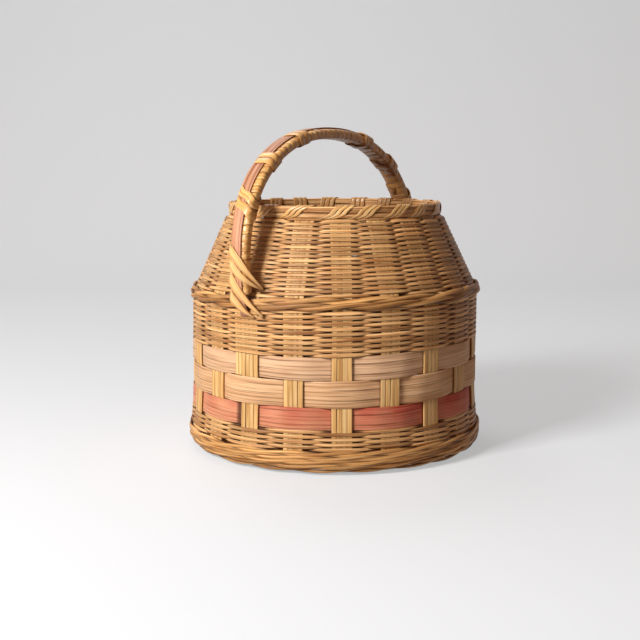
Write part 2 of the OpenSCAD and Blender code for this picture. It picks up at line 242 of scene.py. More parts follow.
def drift(rng: np.random.Generator, rows: int, steps: Array, waves: tuple[int, ...]) -> Array:
    """Slow random waves along closed strips, about 1 high.

    Each wave count adds one sine with a random phase and a random height per strip.

    Args:
        rng: source of the phases and heights.
        rows: number of strips.
        steps: angles round the axis, in radians.
        waves: wave counts round the ring.

    Returns:
        One row of offsets per strip.
    """
    total = np.zeros((rows, len(steps)))
    for count in waves:
        phase = rng.uniform(0.0, 2.0 * math.pi, (rows, 1))
        height = rng.normal(0.0, 1.0, (rows, 1))
        total += height * np.sin(count * steps[None, :] + phase)
    return total / math.sqrt(len(waves))


def tones(rng: np.random.Generator, rows: int, turn: Array, spread: float, wave: float,
          waves: tuple[int, ...], middle: float = 0.5) -> Array:
    """Tone of each strip along its length, from 0, dark, to 1, pale.

    Each strip has a random tone of its own about the middle one, and a slow wave is added to it.

    Args:
        rng: source of the tones and waves.
        rows: number of strips.
        turn: angles round the axis, in radians.
        spread: how far the strips' own tones spread.
        wave: height of the slow wave.
        waves: wave counts round the ring.
        middle: mean tone.

    Returns:
        One row of tones per strip.
    """
    own = rng.normal(middle, spread, (rows, 1))
    return np.clip(own + wave * drift(rng, rows, turn, waves), 0.0, 1.0)


@dataclass
class Strips:
    """Strips of one make, each a cross-section carried along its path.

    Arrays run over strips, steps along the strip and, where they have it, points round the section.
    """

    centre: Array
    out: Array
    half_t: Array | float
    half_h: Array | float
    closed: bool = True
    edge: Edge = Edge.OVAL
    around: int = 8
    boxy: float = 0.8
    tone: Array | float = 0.5
    # Painted shade in crevices, where a strip passes behind another, and along its edges.
    painted_shade: Array | float = 0.0
    # Red stain on the bands, partly painted shade on their side away from the key lamp; painted shade on the
    # rim binding's inside, the handle's inner side and the lashings' lower ends.
    mark: Array | float = 0.0
    lead: Array | float = 0.0

    def section(self) -> tuple[Array, Array]:
        """Section points as shares of the half thickness and half height.

        An oval is a superellipse, the sine and cosine of the angle raised to the power boxy. A flat
        strip has straight faces and round edges.

        Returns:
            Outward shares and sideways shares.
        """
        angle = section_angles(self.around)
        c, s = np.cos(angle), np.sin(angle)
        if self.edge is Edge.OVAL:
            c, s = squared_off(c, self.boxy), squared_off(s, self.boxy)
        return c, s

    def girth_places(self, half_t: Array, half_h: Array) -> Array:
        """Where each section point is across the strip, in millimetres, with the first one again at the end.

        On an oval it is the way round, shared out evenly. On a flat strip it is the way across, the
        same on both faces, so that the grain runs evenly over them.

        Args:
            half_t: mean half thickness of each strip.
            half_h: mean half height of each strip.

        Returns:
            One row of places per strip.
        """
        if self.edge is Edge.OVAL:
            share = np.arange(self.around + 1) / self.around
            return 2.0 * (half_h + half_t)[:, None] * share[None, :]
        s = self.section()[1]
        across = np.sign(s)[None, :] * (half_h - half_t)[:, None] + half_t[:, None] * s[None, :]
        return np.concatenate([across, across[:, :1]], axis=1)

    def surface(self) -> tuple[Array, Array, Array]:
        """Carries the section along the paths.

        Each section stands square to its path: one side points along out, the other along out
        crossed with the path's direction.

        Returns:
            Vertices (strips, steps, around, 3), length along each path (strips, steps + 1 or steps)
            and the places across of the section points.
        """
        c, s = self.section()
        centre = np.asarray(self.centre, float)
        if self.closed:
            ahead = np.roll(centre, -1, axis=1) - np.roll(centre, 1, axis=1)
            hops = np.linalg.norm(np.roll(centre, -1, axis=1) - centre, axis=-1)
        else:
            ahead = np.gradient(centre, axis=1)
            hops = np.linalg.norm(np.diff(centre, axis=1), axis=-1)
        ahead = unit(ahead)
        out = np.broadcast_to(self.out, centre.shape)
        out = unit(out - ahead * np.sum(out * ahead, axis=-1, keepdims=True))
        side = np.cross(out, ahead)
        half_t = np.broadcast_to(self.half_t, centre.shape[:2])[..., None]
        half_h = np.broadcast_to(self.half_h, centre.shape[:2])[..., None]
        if self.edge is Edge.FLAT:
            across = np.sign(s) * np.maximum(half_h - half_t, 0.0) + half_t * s
            through = half_t * c
        else:
            across, through = half_h * s, half_t * c
        verts = centre[:, :, None, :] + through[..., None] * out[:, :, None, :] \
            + across[..., None] * side[:, :, None, :]
        along = np.concatenate([np.zeros((len(centre), 1)), np.cumsum(hops, axis=1)], axis=1)
        girth = self.girth_places(np.mean(half_t, axis=(1, 2)), np.mean(half_h, axis=(1, 2)))
        return verts, along, girth


class Piece:
    """One mesh piece of the creel, which grows strip by strip."""

    def __init__(self, name: str) -> None:
        """Starts an empty piece.

        Args:
            name: the object's name.
        """
        self.name = name
        self.verts: list[Array] = []
        self.quads: list[Array] = []
        self.caps: list[Array] = []
        self.quad_uv: list[Array] = []
        self.cap_uv: list[Array] = []
        self.values: dict[str, list[Array]] = {key: [] for key in STRIP_VALUES}
        self.count = 0

    def add(self, strips: Strips, settled: bool = True) -> None:
        """Adds strips to the piece.

        Args:
            strips: what is carried along its paths.
            settled: whether the strips take the creel's errors of hand work.
        """
        verts, along, across = strips.surface()
        s_count, n, m, _ = verts.shape
        if settled:
            verts = HAND.settle(verts)
        spans = n if strips.closed else n - 1
        s, i, j = np.meshgrid(np.arange(s_count), np.arange(spans), np.arange(m), indexing="ij")
        start = self.count + s * n * m
        here, there = i * m, ((i + 1) % n) * m
        corner = np.stack([start + here + j, start + there + j,
                           start + there + (j + 1) % m, start + here + (j + 1) % m], axis=-1)
        self.quads.append(corner.reshape(-1, 4))
        lead = np.broadcast_to(strips.lead, (s_count,))
        u = (along + lead[:, None]) * MM
        v = across * MM
        u0, u1 = u[:, :spans], u[:, 1:spans + 1]
        v0, v1 = v[:, :m], v[:, 1:]
        full = (s_count, spans, m)
        uv = np.stack([
            np.stack([np.broadcast_to(a[:, :, None], full), np.broadcast_to(b[:, None, :], full)], axis=-1)
            for a, b in ((u0, v0), (u1, v0), (u1, v1), (u0, v1))], axis=-2)
        self.quad_uv.append(uv.reshape(-1, 4, 2))
        if not strips.closed:
            base = self.count + np.arange(s_count)[:, None] * n * m
            first = base + np.arange(m)[None, :]
            last = base + (n - 1) * m + np.arange(m)[None, ::-1]
            self.caps.append(np.concatenate([first, last]))
            flat = np.stack([np.broadcast_to(u[:, :1], (s_count, m)), v[:, :m]], axis=-1)
            self.cap_uv.append(np.concatenate([flat, flat]))
        for key in self.values:
            value = np.asarray(getattr(strips, key), float)
            if value.ndim == 1:
                value = value[:, None, None]
            elif value.ndim == 2:
                value = value[:, :, None]
            self.values[key].append(np.broadcast_to(value, (s_count, n, m)).reshape(-1))
        self.verts.append(verts.reshape(-1, 3) * MM)
        self.count += s_count * n * m

    def build(self, finish: "Bamboo", slot: str, *nodes: str) -> bpy.types.Object:
        """Writes the mesh and puts the piece in the scene.

        Args:
            finish: the bamboo that the piece is made of.
            slot: the record's material slot.
            nodes: CAD nodes that the piece stands for.

        Returns:
            The new object.
        """
        quads = np.concatenate(self.quads)
        cap_list = [c for group in self.caps for c in group]
        cap_uv = [c for group in self.cap_uv for c in group]
        loops = np.concatenate([quads.reshape(-1)] + cap_list)
        starts = np.concatenate([np.arange(len(quads)) * 4,
                                 len(quads) * 4 + np.cumsum([0] + [len(c) for c in cap_list])[:-1]])
        uv = np.concatenate([np.concatenate(self.quad_uv).reshape(-1, 2)] + cap_uv)
        verts = np.concatenate(self.verts)
        mesh = bpy.data.meshes.new(self.name)
        mesh.vertices.add(len(verts))
        mesh.vertices.foreach_set("co", verts.reshape(-1).astype(np.float32))
        mesh.loops.add(len(loops))
        mesh.loops.foreach_set("vertex_index", loops.astype(np.int32))
        mesh.polygons.add(len(starts))
        mesh.polygons.foreach_set("loop_start", starts.astype(np.int32))
        mesh.polygons.foreach_set("use_smooth", np.arange(len(starts)) < len(quads))
        mesh.update(calc_edges=True)
        mesh.uv_layers.new(name="strip").data.foreach_set("uv", uv.reshape(-1).astype(np.float32))
        for key, parts in self.values.items():
            layer = mesh.attributes.new(key, "FLOAT", "POINT")
            layer.data.foreach_set("value", np.concatenate(parts).astype(np.float32))
        mesh.validate()
        made = bpy.data.objects.new(self.name, mesh)
        bpy.context.scene.collection.objects.link(made)
        mesh.materials.append(finish.material())
        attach(made, "root")
        if nodes:
            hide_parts(*nodes)
        log.info("%s: %d faces", self.name, len(starts))
        return made


class Bench:
    """Builds a material's node tree step by step."""

    def __init__(self, name: str) -> None:
        """Starts a material with an empty tree.

        Args:
            name: the material's name.
        """
        self.material = bpy.data.materials.new(name)
        self.material.use_nodes = True
        self.tree = self.material.node_tree
        self.tree.nodes.clear()

    def add(self, kind: str, inputs: dict | None = None, **settings: object) -> bpy.types.Node:
        """Adds a node.

        Args:
            kind: the node's type name, without its ShaderNode start.
            inputs: sockets by name or number, each with a value or another node's output.
            settings: the node's own properties.

        Returns:
            The node.
        """
        node = self.tree.nodes.new("ShaderNode" + kind)
        for key, value in settings.items():
            setattr(node, key, value)
        for key, value in (inputs or {}).items():
            if isinstance(value, bpy.types.NodeSocket):
                self.tree.links.new(value, node.inputs[key])
            else:
                node.inputs[key].default_value = value
        return node

    def maths(self, operation: str, a: object, b: object, clamp: bool = False) -> bpy.types.NodeSocket:
        """Returns the result of one sum, product or other operation on two numbers."""
        return self.add("Math", {0: a, 1: b}, operation=operation, use_clamp=clamp).outputs[0]

    def mix(self, share: object, a: object, b: object, blend: str = "MIX") -> bpy.types.NodeSocket:
        """Returns colour a with colour b laid over it by a share."""
        node = self.add("Mix", {0: share, 6: a, 7: b}, data_type="RGBA", blend_type=blend)
        return node.outputs[2]

    def stretch(self, value: object, low: float, high: float, to_low: float = 0.0,
                to_high: float = 1.0) -> bpy.types.NodeSocket:
        """Returns a value moved from one range to another and held inside it."""
        return self.add("MapRange", {0: value, 1: low, 2: high, 3: to_low, 4: to_high}).outputs[0]

    def streaks(self, coords: bpy.types.NodeSocket, along: float, across: float, detail: float,
                place: tuple[float, float, float] = (0.0, 0.0, 0.0)) -> bpy.types.NodeSocket:
        """Noise drawn out along the strip.

        Args:
            coords: the strip's own coordinates, in metres.
            along: streaks per metre along the strip.
            across: streaks per metre across it.
            detail: octaves of finer noise.
            place: shift of the pattern.

        Returns:
            The noise, about 0.5 on average.
        """
        moved = self.add("Mapping", {0: coords, 1: place, 3: (along, across, 1.0)})
        return self.add("TexNoise", {"Vector": moved.outputs[0], "Scale": 1.0, "Detail": detail,
                                     "Roughness": 0.6}).outputs[0]


def rgba(colour: Colour) -> tuple[float, float, float, float]:
    """Returns a colour with full cover."""
    return (*colour, 1.0)


def srgb(red: int, green: int, blue: int) -> Colour:
    """Turns screen values from 0 to 255 into the linear values that shaders take.

    Below 0.04045 a value is divided by 12.92, and above it goes through a power of 2.4.

    Args:
        red: screen value of red.
        green: screen value of green.
        blue: screen value of blue.

    Returns:
        The linear colour.
    """
    def one(v: int) -> float:
        """Returns one channel's linear value."""
        c = v / 255.0
        return c / 12.92 if c <= 0.04045 else ((c + 0.055) / 1.055) ** 2.4
    return (one(red), one(green), one(blue))


@dataclass(frozen=True)
class Bamboo:
    """Finish of split bamboo: fibres along the strip, tones from strip to strip, painted shade where it
    dives.
    """

    name: str
    pale: Colour
    plain: Colour
    deep: Colour
    # Colour of the cracks and of the painted shade in crevices.
    crack_and_shade: Colour = srgb(56, 22, 6)
    aged: Colour = srgb(150, 92, 44)
    # Colour of the bands' red stain and of the painted shade on the binding, handle and lashings.
    stain_and_shade_colour: Colour = srgb(120, 62, 28)
    age: float = 0.35
    tone_span: float = 0.22
    crack: float = 0.0
    roughness: float = 0.5
    relief: float = 0.25
    gloss: float = 0.25
    varnish: float = 0.05
    fibres: float = 2200.0
    uses_strips: bool = True

    def material(self) -> bpy.types.Material:
        """The finish as a material, made once.

        Fine and broad streaks choose between three tones, a slow noise lays the aged tone over
        them, the strip's tone makes it lighter or darker, the stain-and-shade value lays red stain
        and painted shade on it, cracks are the top of a thin streak noise, and painted shade darkens
        what lies deep, between and behind strips.

        Returns:
            The material.
        """
        known = bpy.data.materials.get(self.name)
        if known:
            return known
        bench = Bench(self.name)
        if self.uses_strips:
            coords = bench.add("UVMap", uv_map="strip").outputs[0]
        else:
            coords = bench.add("TexCoord").outputs["Object"]
        fine = bench.streaks(coords, 18.0, self.fibres, 3.0)
        broad = bench.streaks(coords, 7.0, self.fibres * 0.3, 2.0, (3.1, 7.7, 0.0))
        slow = bench.streaks(coords, 22.0, 60.0, 2.0, (9.3, 1.7, 4.0))
        grain = bench.maths("ADD", bench.maths("MULTIPLY", fine, 0.55),
                            bench.maths("MULTIPLY", broad, 0.45))
        ramp = bench.add("ValToRGB", {0: grain})
        low, high = ramp.color_ramp.elements
        low.position, low.color = 0.38, rgba(self.deep)
        high.position, high.color = 0.6, rgba(self.pale)
        ramp.color_ramp.elements.new(0.5).color = rgba(self.plain)
        tone, painted_shade, mark = (bench.add("Attribute", attribute_name=key).outputs["Fac"]
                            for key in STRIP_VALUES)
        old = bench.stretch(bench.maths("ADD", slow, bench.maths("MULTIPLY", tone, -0.25)), 0.35, 0.62)
        colour = bench.mix(bench.maths("MULTIPLY", old, self.age), ramp.outputs[0], rgba(self.aged))
        light = bench.stretch(tone, 0.0, 1.0, 1.0 - self.tone_span, 1.0 + self.tone_span)
        colour = bench.mix(1.0, colour, light, "MULTIPLY")
        # Red stain on the bands and painted shade on the binding's inside, the handle's inner side and the
        # lashings' ends.
        ragged = bench.maths("MULTIPLY", mark, bench.stretch(broad, 0.3, 0.6, 0.55, 1.0), clamp=True)
        colour = bench.mix(ragged, colour, rgba(self.stain_and_shade_colour))
        if self.crack:
            lines = bench.streaks(coords, 9.0, self.fibres * 0.5, 1.0, (1.3, 2.9, 8.0))
            split = bench.stretch(lines, 0.6, 0.66, 0.0, self.crack)
            colour = bench.mix(split, colour, rgba(self.crack_and_shade))
            fine = bench.maths("SUBTRACT", fine, split)
        # Painted shade: the dark colour laid where a strip lies deep, between or behind its neighbours.
        colour = bench.mix(bench.maths("MULTIPLY", painted_shade, 0.92, clamp=True), colour, rgba(self.crack_and_shade))
        rough = bench.stretch(fine, 0.3, 0.7, self.roughness + 0.1, self.roughness - 0.08)
        bump = bench.add("Bump", {"Strength": self.relief, "Distance": 0.0006, "Height": fine})
        surface = bench.add("BsdfPrincipled", {"Base Color": colour, "Roughness": rough,
                                               "Normal": bump.outputs[0]})
        surface.inputs["Specular IOR Level"].default_value = self.gloss
        surface.inputs["Coat Weight"].default_value = self.varnish
        surface.inputs["Coat Roughness"].default_value = 0.3
        out = bench.add("OutputMaterial")
        bench.tree.links.new(surface.outputs[0], out.inputs[0])
        return bench.material


@dataclass(frozen=True)
class BandBamboo(Bamboo):
    """Finish of the wide bands: dull and cracked, with coarser fibres and even tones."""

    tone_span: float = 0.12
    crack: float = 0.55
    roughness: float = 0.62
    varnish: float = 0.0
    fibres: float = 1300.0


@dataclass(frozen=True)
class BindingBamboo(Bamboo):
    """Finish of the flat binding strips: glossy, with coarser fibres."""

    roughness: float = 0.36
    gloss: float = 0.5
    varnish: float = 0.2
    fibres: float = 1100.0


STRAW = Bamboo("straw_splint", srgb(242, 204, 144), srgb(226, 178, 112), srgb(188, 134, 74), age=0.3,
               aged=srgb(196, 126, 66))
HONEY = Bamboo("honey_weaver", srgb(244, 200, 142), srgb(218, 164, 106), srgb(160, 102, 54), age=0.5,
               aged=srgb(170, 98, 46), tone_span=0.36)
TWINE = Bamboo("twining_strand", srgb(240, 192, 128), srgb(212, 156, 92), srgb(156, 98, 50), age=0.5,
               aged=srgb(168, 96, 44), tone_span=0.36)
MAUVE = BandBamboo("mauve_band", srgb(240, 200, 160), srgb(226, 182, 142), srgb(186, 136, 98), crack=0.6,
                   aged=srgb(190, 136, 98), age=0.2)
TAN = BandBamboo("tan_band", srgb(240, 198, 154), srgb(224, 176, 130), srgb(184, 132, 88),
                 aged=srgb(192, 132, 84), age=0.2)
# The salmon band's stain-and-shade colour is a red stain, laid partly as painted shade on the side away from
# the key lamp.
SALMON = BandBamboo("salmon_band", srgb(246, 190, 146), srgb(234, 164, 124), srgb(186, 108, 76), age=0.3,
                    aged=srgb(214, 140, 96), stain_and_shade_colour=srgb(182, 54, 44))
# The binding's stain-and-shade colour is painted shade, on the rim binding's inside and the lashings' lower
# ends.
BINDING = BindingBamboo("binding_strip", srgb(248, 208, 144), srgb(228, 176, 108), srgb(188, 130, 70),
                        aged=srgb(196, 120, 58), stain_and_shade_colour=srgb(112, 52, 20))
# The winding's stain-and-shade colour is painted shade, on the side of the handle's winding and straps that
# faces into the hoop.
WINDING = BindingBamboo("handle_winding_strip", srgb(248, 204, 134), srgb(228, 172, 100),
                        srgb(188, 124, 62), aged=srgb(196, 112, 50), stain_and_shade_colour=srgb(108, 50, 20),
                        varnish=0.25)
LEADER = Bamboo("leader_strip", srgb(218, 164, 130), srgb(200, 142, 108), srgb(160, 102, 72), age=0.35,
                aged=srgb(190, 118, 68), crack=0.35, fibres=1100.0)
CORE = Bamboo("handle_core", srgb(190, 118, 62), srgb(150, 82, 38), srgb(96, 42, 16), age=0.4)
BASE = Bamboo("base_strip", srgb(220, 168, 104), srgb(192, 138, 78), srgb(146, 96, 48), age=0.4,
              uses_strips=False, fibres=300.0)


@dataclass
class RibSet:
    """The ribs, each of four splints that lie side by side from the base to the rim."""

    splints: int = 4
    splint_half_t: float = 0.78
    splint_gap: float = 0.04
    proud: float = 0.1
    sway: float = 0.25
    bulge: float = 0.34
    band_bulge: float = 0.45
    fade: float = 2.0
    # Painted shade in the grooves between splints, most in the rib's middle groove.
    middle_groove_shade: float = 0.6
    groove_shade: float = 0.16
    inner_r: float = 59.6
    top_z: float = 231.8
    steps: int = 300
    flat_steps: int = 12
    around: int = 12
    boxy: float = 0.34

    def line(self) -> tuple[Array, Array]:
        """Middle line of a rib, from the base's middle out, round the foot and up to the rim.

        Returns:
            Radii and heights; the foot is a quarter ellipse, the rest follows the wall.
        """
        flat = np.linspace(self.inner_r, WALL.foot_r - WALL.foot_turn, self.flat_steps, endpoint=False)
        turn = np.linspace(0.0, math.pi / 2.0, 14, endpoint=False)
        turn_r = WALL.foot_r - WALL.foot_turn * (1.0 - np.sin(turn))
        turn_z = WALL.foot_z - (WALL.foot_z - WALL.rib_lie) * np.cos(turn)
        up = np.linspace(WALL.foot_z, self.top_z, self.steps)
        radii = np.concatenate([flat, turn_r, WALL.radius(up)])
        heights = np.concatenate([np.full(self.flat_steps, WALL.rib_lie), turn_z, up])
        return radii, heights

    def press(self, k: int, z: Array, zones: list["ThinWeave"], bands: list["WideBand"]) -> Array:
        """How far rib k is pressed in or bulges out at each height.

        In a thin zone it is a cosine whose crests lie at the rows that pass inside; at a band it is
        one smooth hump or hollow.

        Args:
            k: number of the rib.
            z: heights of its points.
            zones: the thin zones that press on it.
            bands: the wide bands that press on it.

        Returns:
            The steps outwards, in the shape of z.
        """
        push = np.zeros_like(z)
        first = 1.0 if k % 2 == 0 else -1.0
        for zone in zones:
            inside = smooth_step((z - zone.z) / self.fade) * smooth_step((zone.top - z) / self.fade)
            crest = np.cos(math.pi * (z - zone.z - zone.pitch / 2.0) / zone.pitch)
            push -= inside * self.bulge * first * crest
        for band in bands:
            over = 1.0 if (k + band.phase) % 2 == 0 else -1.0
            share = np.clip((z - band.z) / band.height, 0.0, 1.0)
            push -= over * self.band_bulge * np.sin(math.pi * share) ** 0.6
        return push

    def dress(self, zones: list["ThinWeave"], bands: list["WideBand"]) -> None:
        """Builds one piece per rib.

        Args:
            zones: the thin zones that press on the ribs.
            bands: the wide bands that press on them.
        """
        rng = np.random.default_rng(11)
        width = WALL.rib_w / self.splints
        radii, heights = self.line()
        slope = unit(np.stack([np.gradient(radii), np.gradient(heights)], axis=-1))
        proud = np.where(np.arange(self.splints) % 2 == 0, self.proud, 0.0)
        for k in range(WALL.rib_count):
            ahead, aside = math.cos(WALL.rib_angle(k)), math.sin(WALL.rib_angle(k))
            push = self.press(k, heights, zones, bands)
            r = radii + slope[:, 1] * push
            z = heights - slope[:, 0] * push
            side = (np.arange(self.splints) - (self.splints - 1) / 2.0) * width
            side = side + rng.normal(0.0, 0.08, self.splints)
            wave_length = rng.uniform(25, 60, (self.splints, 1))
            phase = rng.uniform(0, 6.28, (self.splints, 1))
            sway = self.sway * np.sin(heights[None, :] / wave_length + phase)
            y = side[:, None] + sway * smooth_step(heights / 30.0)
            rr = r[None, :] + proud[:, None] * slope[None, :, 1]
            zz = np.maximum(z[None, :] - proud[:, None] * slope[None, :, 0], self.splint_half_t)
            centre = np.stack([rr * ahead - y * aside, rr * aside + y * ahead, zz], axis=-1)
            out = np.stack([slope[:, 1] * ahead, slope[:, 1] * aside, -slope[:, 0]], axis=-1)
            piece = Piece(f"rib_{k + 1:02d}_splints")
            piece.add(Strips(centre, out[None], self.splint_half_t, width / 2.0 - self.splint_gap,
                             closed=False, around=self.around, boxy=self.boxy,
                             tone=rng.uniform(0.3, 0.8, self.splints), painted_shade=self.painted_shade(),
                             lead=leads(rng, self.splints)))
            piece.build(STRAW, "rib", f"rib_{k + 1:02d}")

    def painted_shade(self) -> Array:
        """Painted shade in the grooves between splints.

        It goes by the sixth power of the sideways share, and is most in the rib's middle groove.

        Returns:
            One row of amounts per splint, with an axis of length one for the steps.
        """
        across = np.sin(section_angles(self.around))
        order = np.arange(self.splints)[:, None]
        half = self.splints // 2
        middle = ((order == half - 1) & (across < 0.0)) | ((order == half) & (across > 0.0))
        return (np.where(middle, self.middle_groove_shade, self.groove_shade) * across**6)[:, None, :]


def passing(turn: Array, side: Array, half_rib: Array, tail: Array) -> Array:
    """Where a weaver is between the outside (1) and the inside (-1) of the wall.

    Over and a little past a rib it stays on its side; between two ribs it crosses by half a cosine wave.

    Args:
        turn: angles round the axis, in radians.
        side: 1 or -1 for each row and rib.
        half_rib: for each row, the share of a rib step that it stays straight past a rib's middle.
        tail: the same share on the side where a tail widens the feet's ribs.

    Returns:
        One row of places per row.
    """
    at = (turn - math.radians(WALL.rib_turn)) / WALL.step
    left = np.floor(at).astype(int)
    share = (at - left)[None, :]
    here = side[:, left % WALL.rib_count]
    there = side[:, (left + 1) % WALL.rib_count]
    wide = ((left + 1) % (WALL.rib_count // 2) == 0)[None, :]
    before = np.where(wide, tail[:, None], half_rib[:, None])
    cross = np.clip((share - half_rib[:, None]) / (1.0 - half_rib[:, None] - before), 0.0, 1.0)
    return here + (there - here) * (1.0 - np.cos(math.pi * cross)) / 2.0


@dataclass
class ThinWeave:
    """A zone of thin weavers packed row on row."""

    name: str
    z: float
    rows: int
    pitch: float
    seed: int
    steps_per_rib: int = 18
    around: int = 8
    swing: float = 1.3
    half_t: float = 0.66
    fullness: float = 1.14
    swell: float = 0.5
    stray: float = 0.07
    straight: float = 10.0
    tail_straight: float = 17.3
    inward_shade: float = 0.9
    edge_shade: float = 0.6

    @property
    def top(self) -> float:
        """Height of the zone's upper edge."""
        return self.z + self.rows * self.pitch

    def dress(self) -> None:
        """Builds the zone as one piece.

        Each row is a ring at its height. Its radius swings by passing() along the wall's normal,
        and it stands a little taller where it lies proud. Painted shade darkens the face that turns to a
        rib, where the row passes behind it, and the row's two edges.
        """
        rng = np.random.default_rng(self.seed)
        turn = full_turn(self.steps_per_rib * WALL.rib_count)
        mid = self.z + (np.arange(self.rows) + 0.5) * self.pitch
        r = WALL.radius(mid)
        nr, nz = WALL.outward(mid)
        step_len = r * WALL.step
        at = passing(turn, over_under(self.rows), self.straight / step_len, self.tail_straight / step_len)
        wander = drift(rng, self.rows, turn, (3, 7, 11, 17)) * self.stray * self.pitch
        depth = drift(rng, self.rows, turn, (5, 9, 13)) * self.stray
        out = ring(nr[:, None], turn[None, :], nz[:, None])
        centre = ring(r[:, None], turn[None, :], mid[:, None] + wander) \
            + out * (self.swing * at + depth)[..., None]
        proud = np.clip(at, 0.0, 1.0)
        half_h = self.pitch / nr[:, None] / 2.0 * (self.fullness + self.swell * proud) \
            * (1.0 + 0.04 * drift(rng, self.rows, turn, (2, 5, 12)))
        half_t = self.half_t * (1.0 + 0.06 * drift(rng, self.rows, turn, (4, 9)))
        facing = np.sign(np.cos(section_angles(self.around)))[None, None, :]
        # Painted shade where the row turns inwards behind a rib, and along its edges.
        painted_shade = self.inward_shade * smooth_step(-at[..., None] * facing * 1.1 - 0.1) \
            + seam(self.around, self.edge_shade, 4)
        tone = tones(rng, self.rows, turn, 0.2, 0.16, (1, 2, 4, 9))
        piece = Piece(self.name + "_rows")
        piece.add(Strips(centre, out, half_t, half_h, around=self.around, boxy=0.85, tone=tone, painted_shade=painted_shade,
                         lead=leads(rng, self.rows)))
        piece.build(HONEY, "weaver", self.name)


@dataclass
class WideBand:
    """One wide strip that passes over and under the ribs right round the body."""

    name: str
    z: float
    height: float
    phase: int
    finish: Bamboo
    seed: int
    steps_per_rib: int = 24
    around: int = 20
    half_t: float = 0.65
    swing: float = 1.35
    straight: float = 8.2
    tail_straight: float = 15.6
    inward_shade: float = 0.9
    edge_shade: float = 0.4
    stain_low: float = 0.0
    stain_high: float = 0.0
    # The side that the stain grows towards faces away from the key lamp, so the extra red there is partly
    # painted shade.
    stain_and_shade_side: float = 280.0
    side_stain_and_shade: float = 0.55

    def stains(self, rng: np.random.Generator, turn: Array, up: Array) -> Array:
        """Red stain on the band, partly painted shade.

        It is stain_low on the lower half and stain_high on the upper one, times a slow wave round
        the axis, and grows by a half towards stain_and_shade_side, the side away from the key lamp. A stained
        band also gains side_stain_and_shade there; the extra red on that side is partly painted shade.

        Args:
            rng: source of the wave.
            turn: angles round the axis, in radians.
            up: sideways share of each section point, below 0 at the lower edge.

        Returns:
            One row of amounts per angle, none on a band without stain.
        """
        edge = np.where(up > 0.0, self.stain_high, self.stain_low)
        wave = 0.7 + 0.4 * drift(rng, 1, turn, (7, 16, 27))[0]
        # Growth towards the side away from the key lamp: partly red stain, partly painted shade.
        near = (0.5 + 0.5 * np.cos(turn - math.radians(self.stain_and_shade_side))) ** 2
        both = edge[None, :] * (wave * (1.0 + 0.5 * near))[:, None]
        return np.clip(both + self.side_stain_and_shade * near[:, None] * (self.stain_high > 0.0), 0.0, 1.0)

    def dress(self) -> None:
        """Builds the band as a closed flat strip that swings as passing() says."""
        rng = np.random.default_rng(self.seed)
        turn = full_turn(self.steps_per_rib * WALL.rib_count)
        mid = self.z + self.height / 2.0
        r = float(WALL.radius(mid))
        step_len = np.array([r * WALL.step])
        at = passing(turn, over_under(1, self.phase), self.straight / step_len,
                     self.tail_straight / step_len)[0]
        nr, nz = WALL.outward(mid)
        out = ring(nr, turn, nz)
        wander = drift(rng, 1, turn, (3, 7))[0] * 0.15
        centre = ring(r, turn, mid + wander) + out * (self.swing * at)[:, None]
        half_h = self.height / 2.0 + 0.1 + 0.12 * drift(rng, 1, turn, (6, 13, 21))[0]
        angle = section_angles(self.around)
        facing = np.sign(np.cos(angle))[None, :]
        # Painted shade where the band lies behind a rib, and along its edges.
        painted_shade = self.inward_shade * smooth_step((-at[:, None] * facing - 0.99) / 0.01) \
            + seam(self.around, self.edge_shade, 10)
        tone = np.clip(0.5 + 0.15 * drift(rng, 1, turn, (2, 5, 9))[0], 0.0, 1.0)
        piece = Piece(self.name + "_strip")
        piece.add(Strips(centre[None], out[None], self.half_t, half_h[None], edge=Edge.FLAT,
                         around=self.around, tone=tone[None], painted_shade=painted_shade,
                         mark=self.stains(rng, turn, np.sin(angle))[None], lead=np.array([float(self.seed)])))
        piece.build(self.finish, self.name, self.name)


@dataclass
class Twining:
    """Rows of twined strands, two to a row, that turn round each other outside the ribs."""

    name: str
    z: float
    rows: int
    pitch: float
    thickness: float
    seed: int
    climb: float
    reach: float
    half_h: float
    steps_per_rib: int = 18
    around: int = 8
    gap: float = 0.15
    off_ribs: float = 0.8
    inward_shade: float = 0.75
    edge_shade: float = 0.5

    def dress(self) -> None:
        """Builds the rows as one piece.

        Each strand goes round the row's middle line on a small ellipse, reach outwards and climb
        upwards, once every two ribs, so where it lies proud it slants up to the right.
        """
        rng = np.random.default_rng(self.seed)
        turn = full_turn(self.steps_per_rib * WALL.rib_count)
        row = np.repeat(np.arange(self.rows), 2)
        strand = np.tile([0.0, math.pi], self.rows)
        count = len(row)
        mid = self.z + (row + 0.5) * self.pitch
        r = WALL.radius(mid) + WALL.rib_lie + self.gap + self.thickness / 2.0 + self.off_ribs
        phase = strand + row * 1.9 + rng.uniform(-0.4, 0.4, count)
        around_line = (WALL.rib_count // 2) * turn[None, :] + phase[:, None] \
            + 0.25 * drift(rng, count, turn, (2, 3))
        nr, nz = WALL.outward(mid)
        out = ring(nr[:, None], turn[None, :], nz[:, None])
        wander = drift(rng, count, turn, (2, 5)) * 0.15
        z = mid[:, None] + self.climb * np.sin(around_line) + wander
        proud = np.cos(around_line)
        centre = ring(r[:, None], turn[None, :], z) + out * (self.reach * proud)[..., None]
        half_h = self.half_h * (1.0 + 0.1 * proud + 0.06 * drift(rng, count, turn, (4, 9)))
        # Painted shade where the strand turns inwards against the ribs, and along its edges.
        painted_shade = self.inward_shade * np.clip(-proud[..., None] * 1.2 - 0.2, 0.0, 1.0) \
            + seam(self.around, self.edge_shade, 4)
        tone = tones(rng, count, turn, 0.22, 0.12, (1, 3, 7))
        piece = Piece(self.name + "_strands")
        piece.add(Strips(centre, out, self.thickness / 2.0, half_h, around=self.around, boxy=0.85, tone=tone,
                         painted_shade=painted_shade, lead=leads(rng, count)))
        piece.build(TWINE, "twine", self.name)


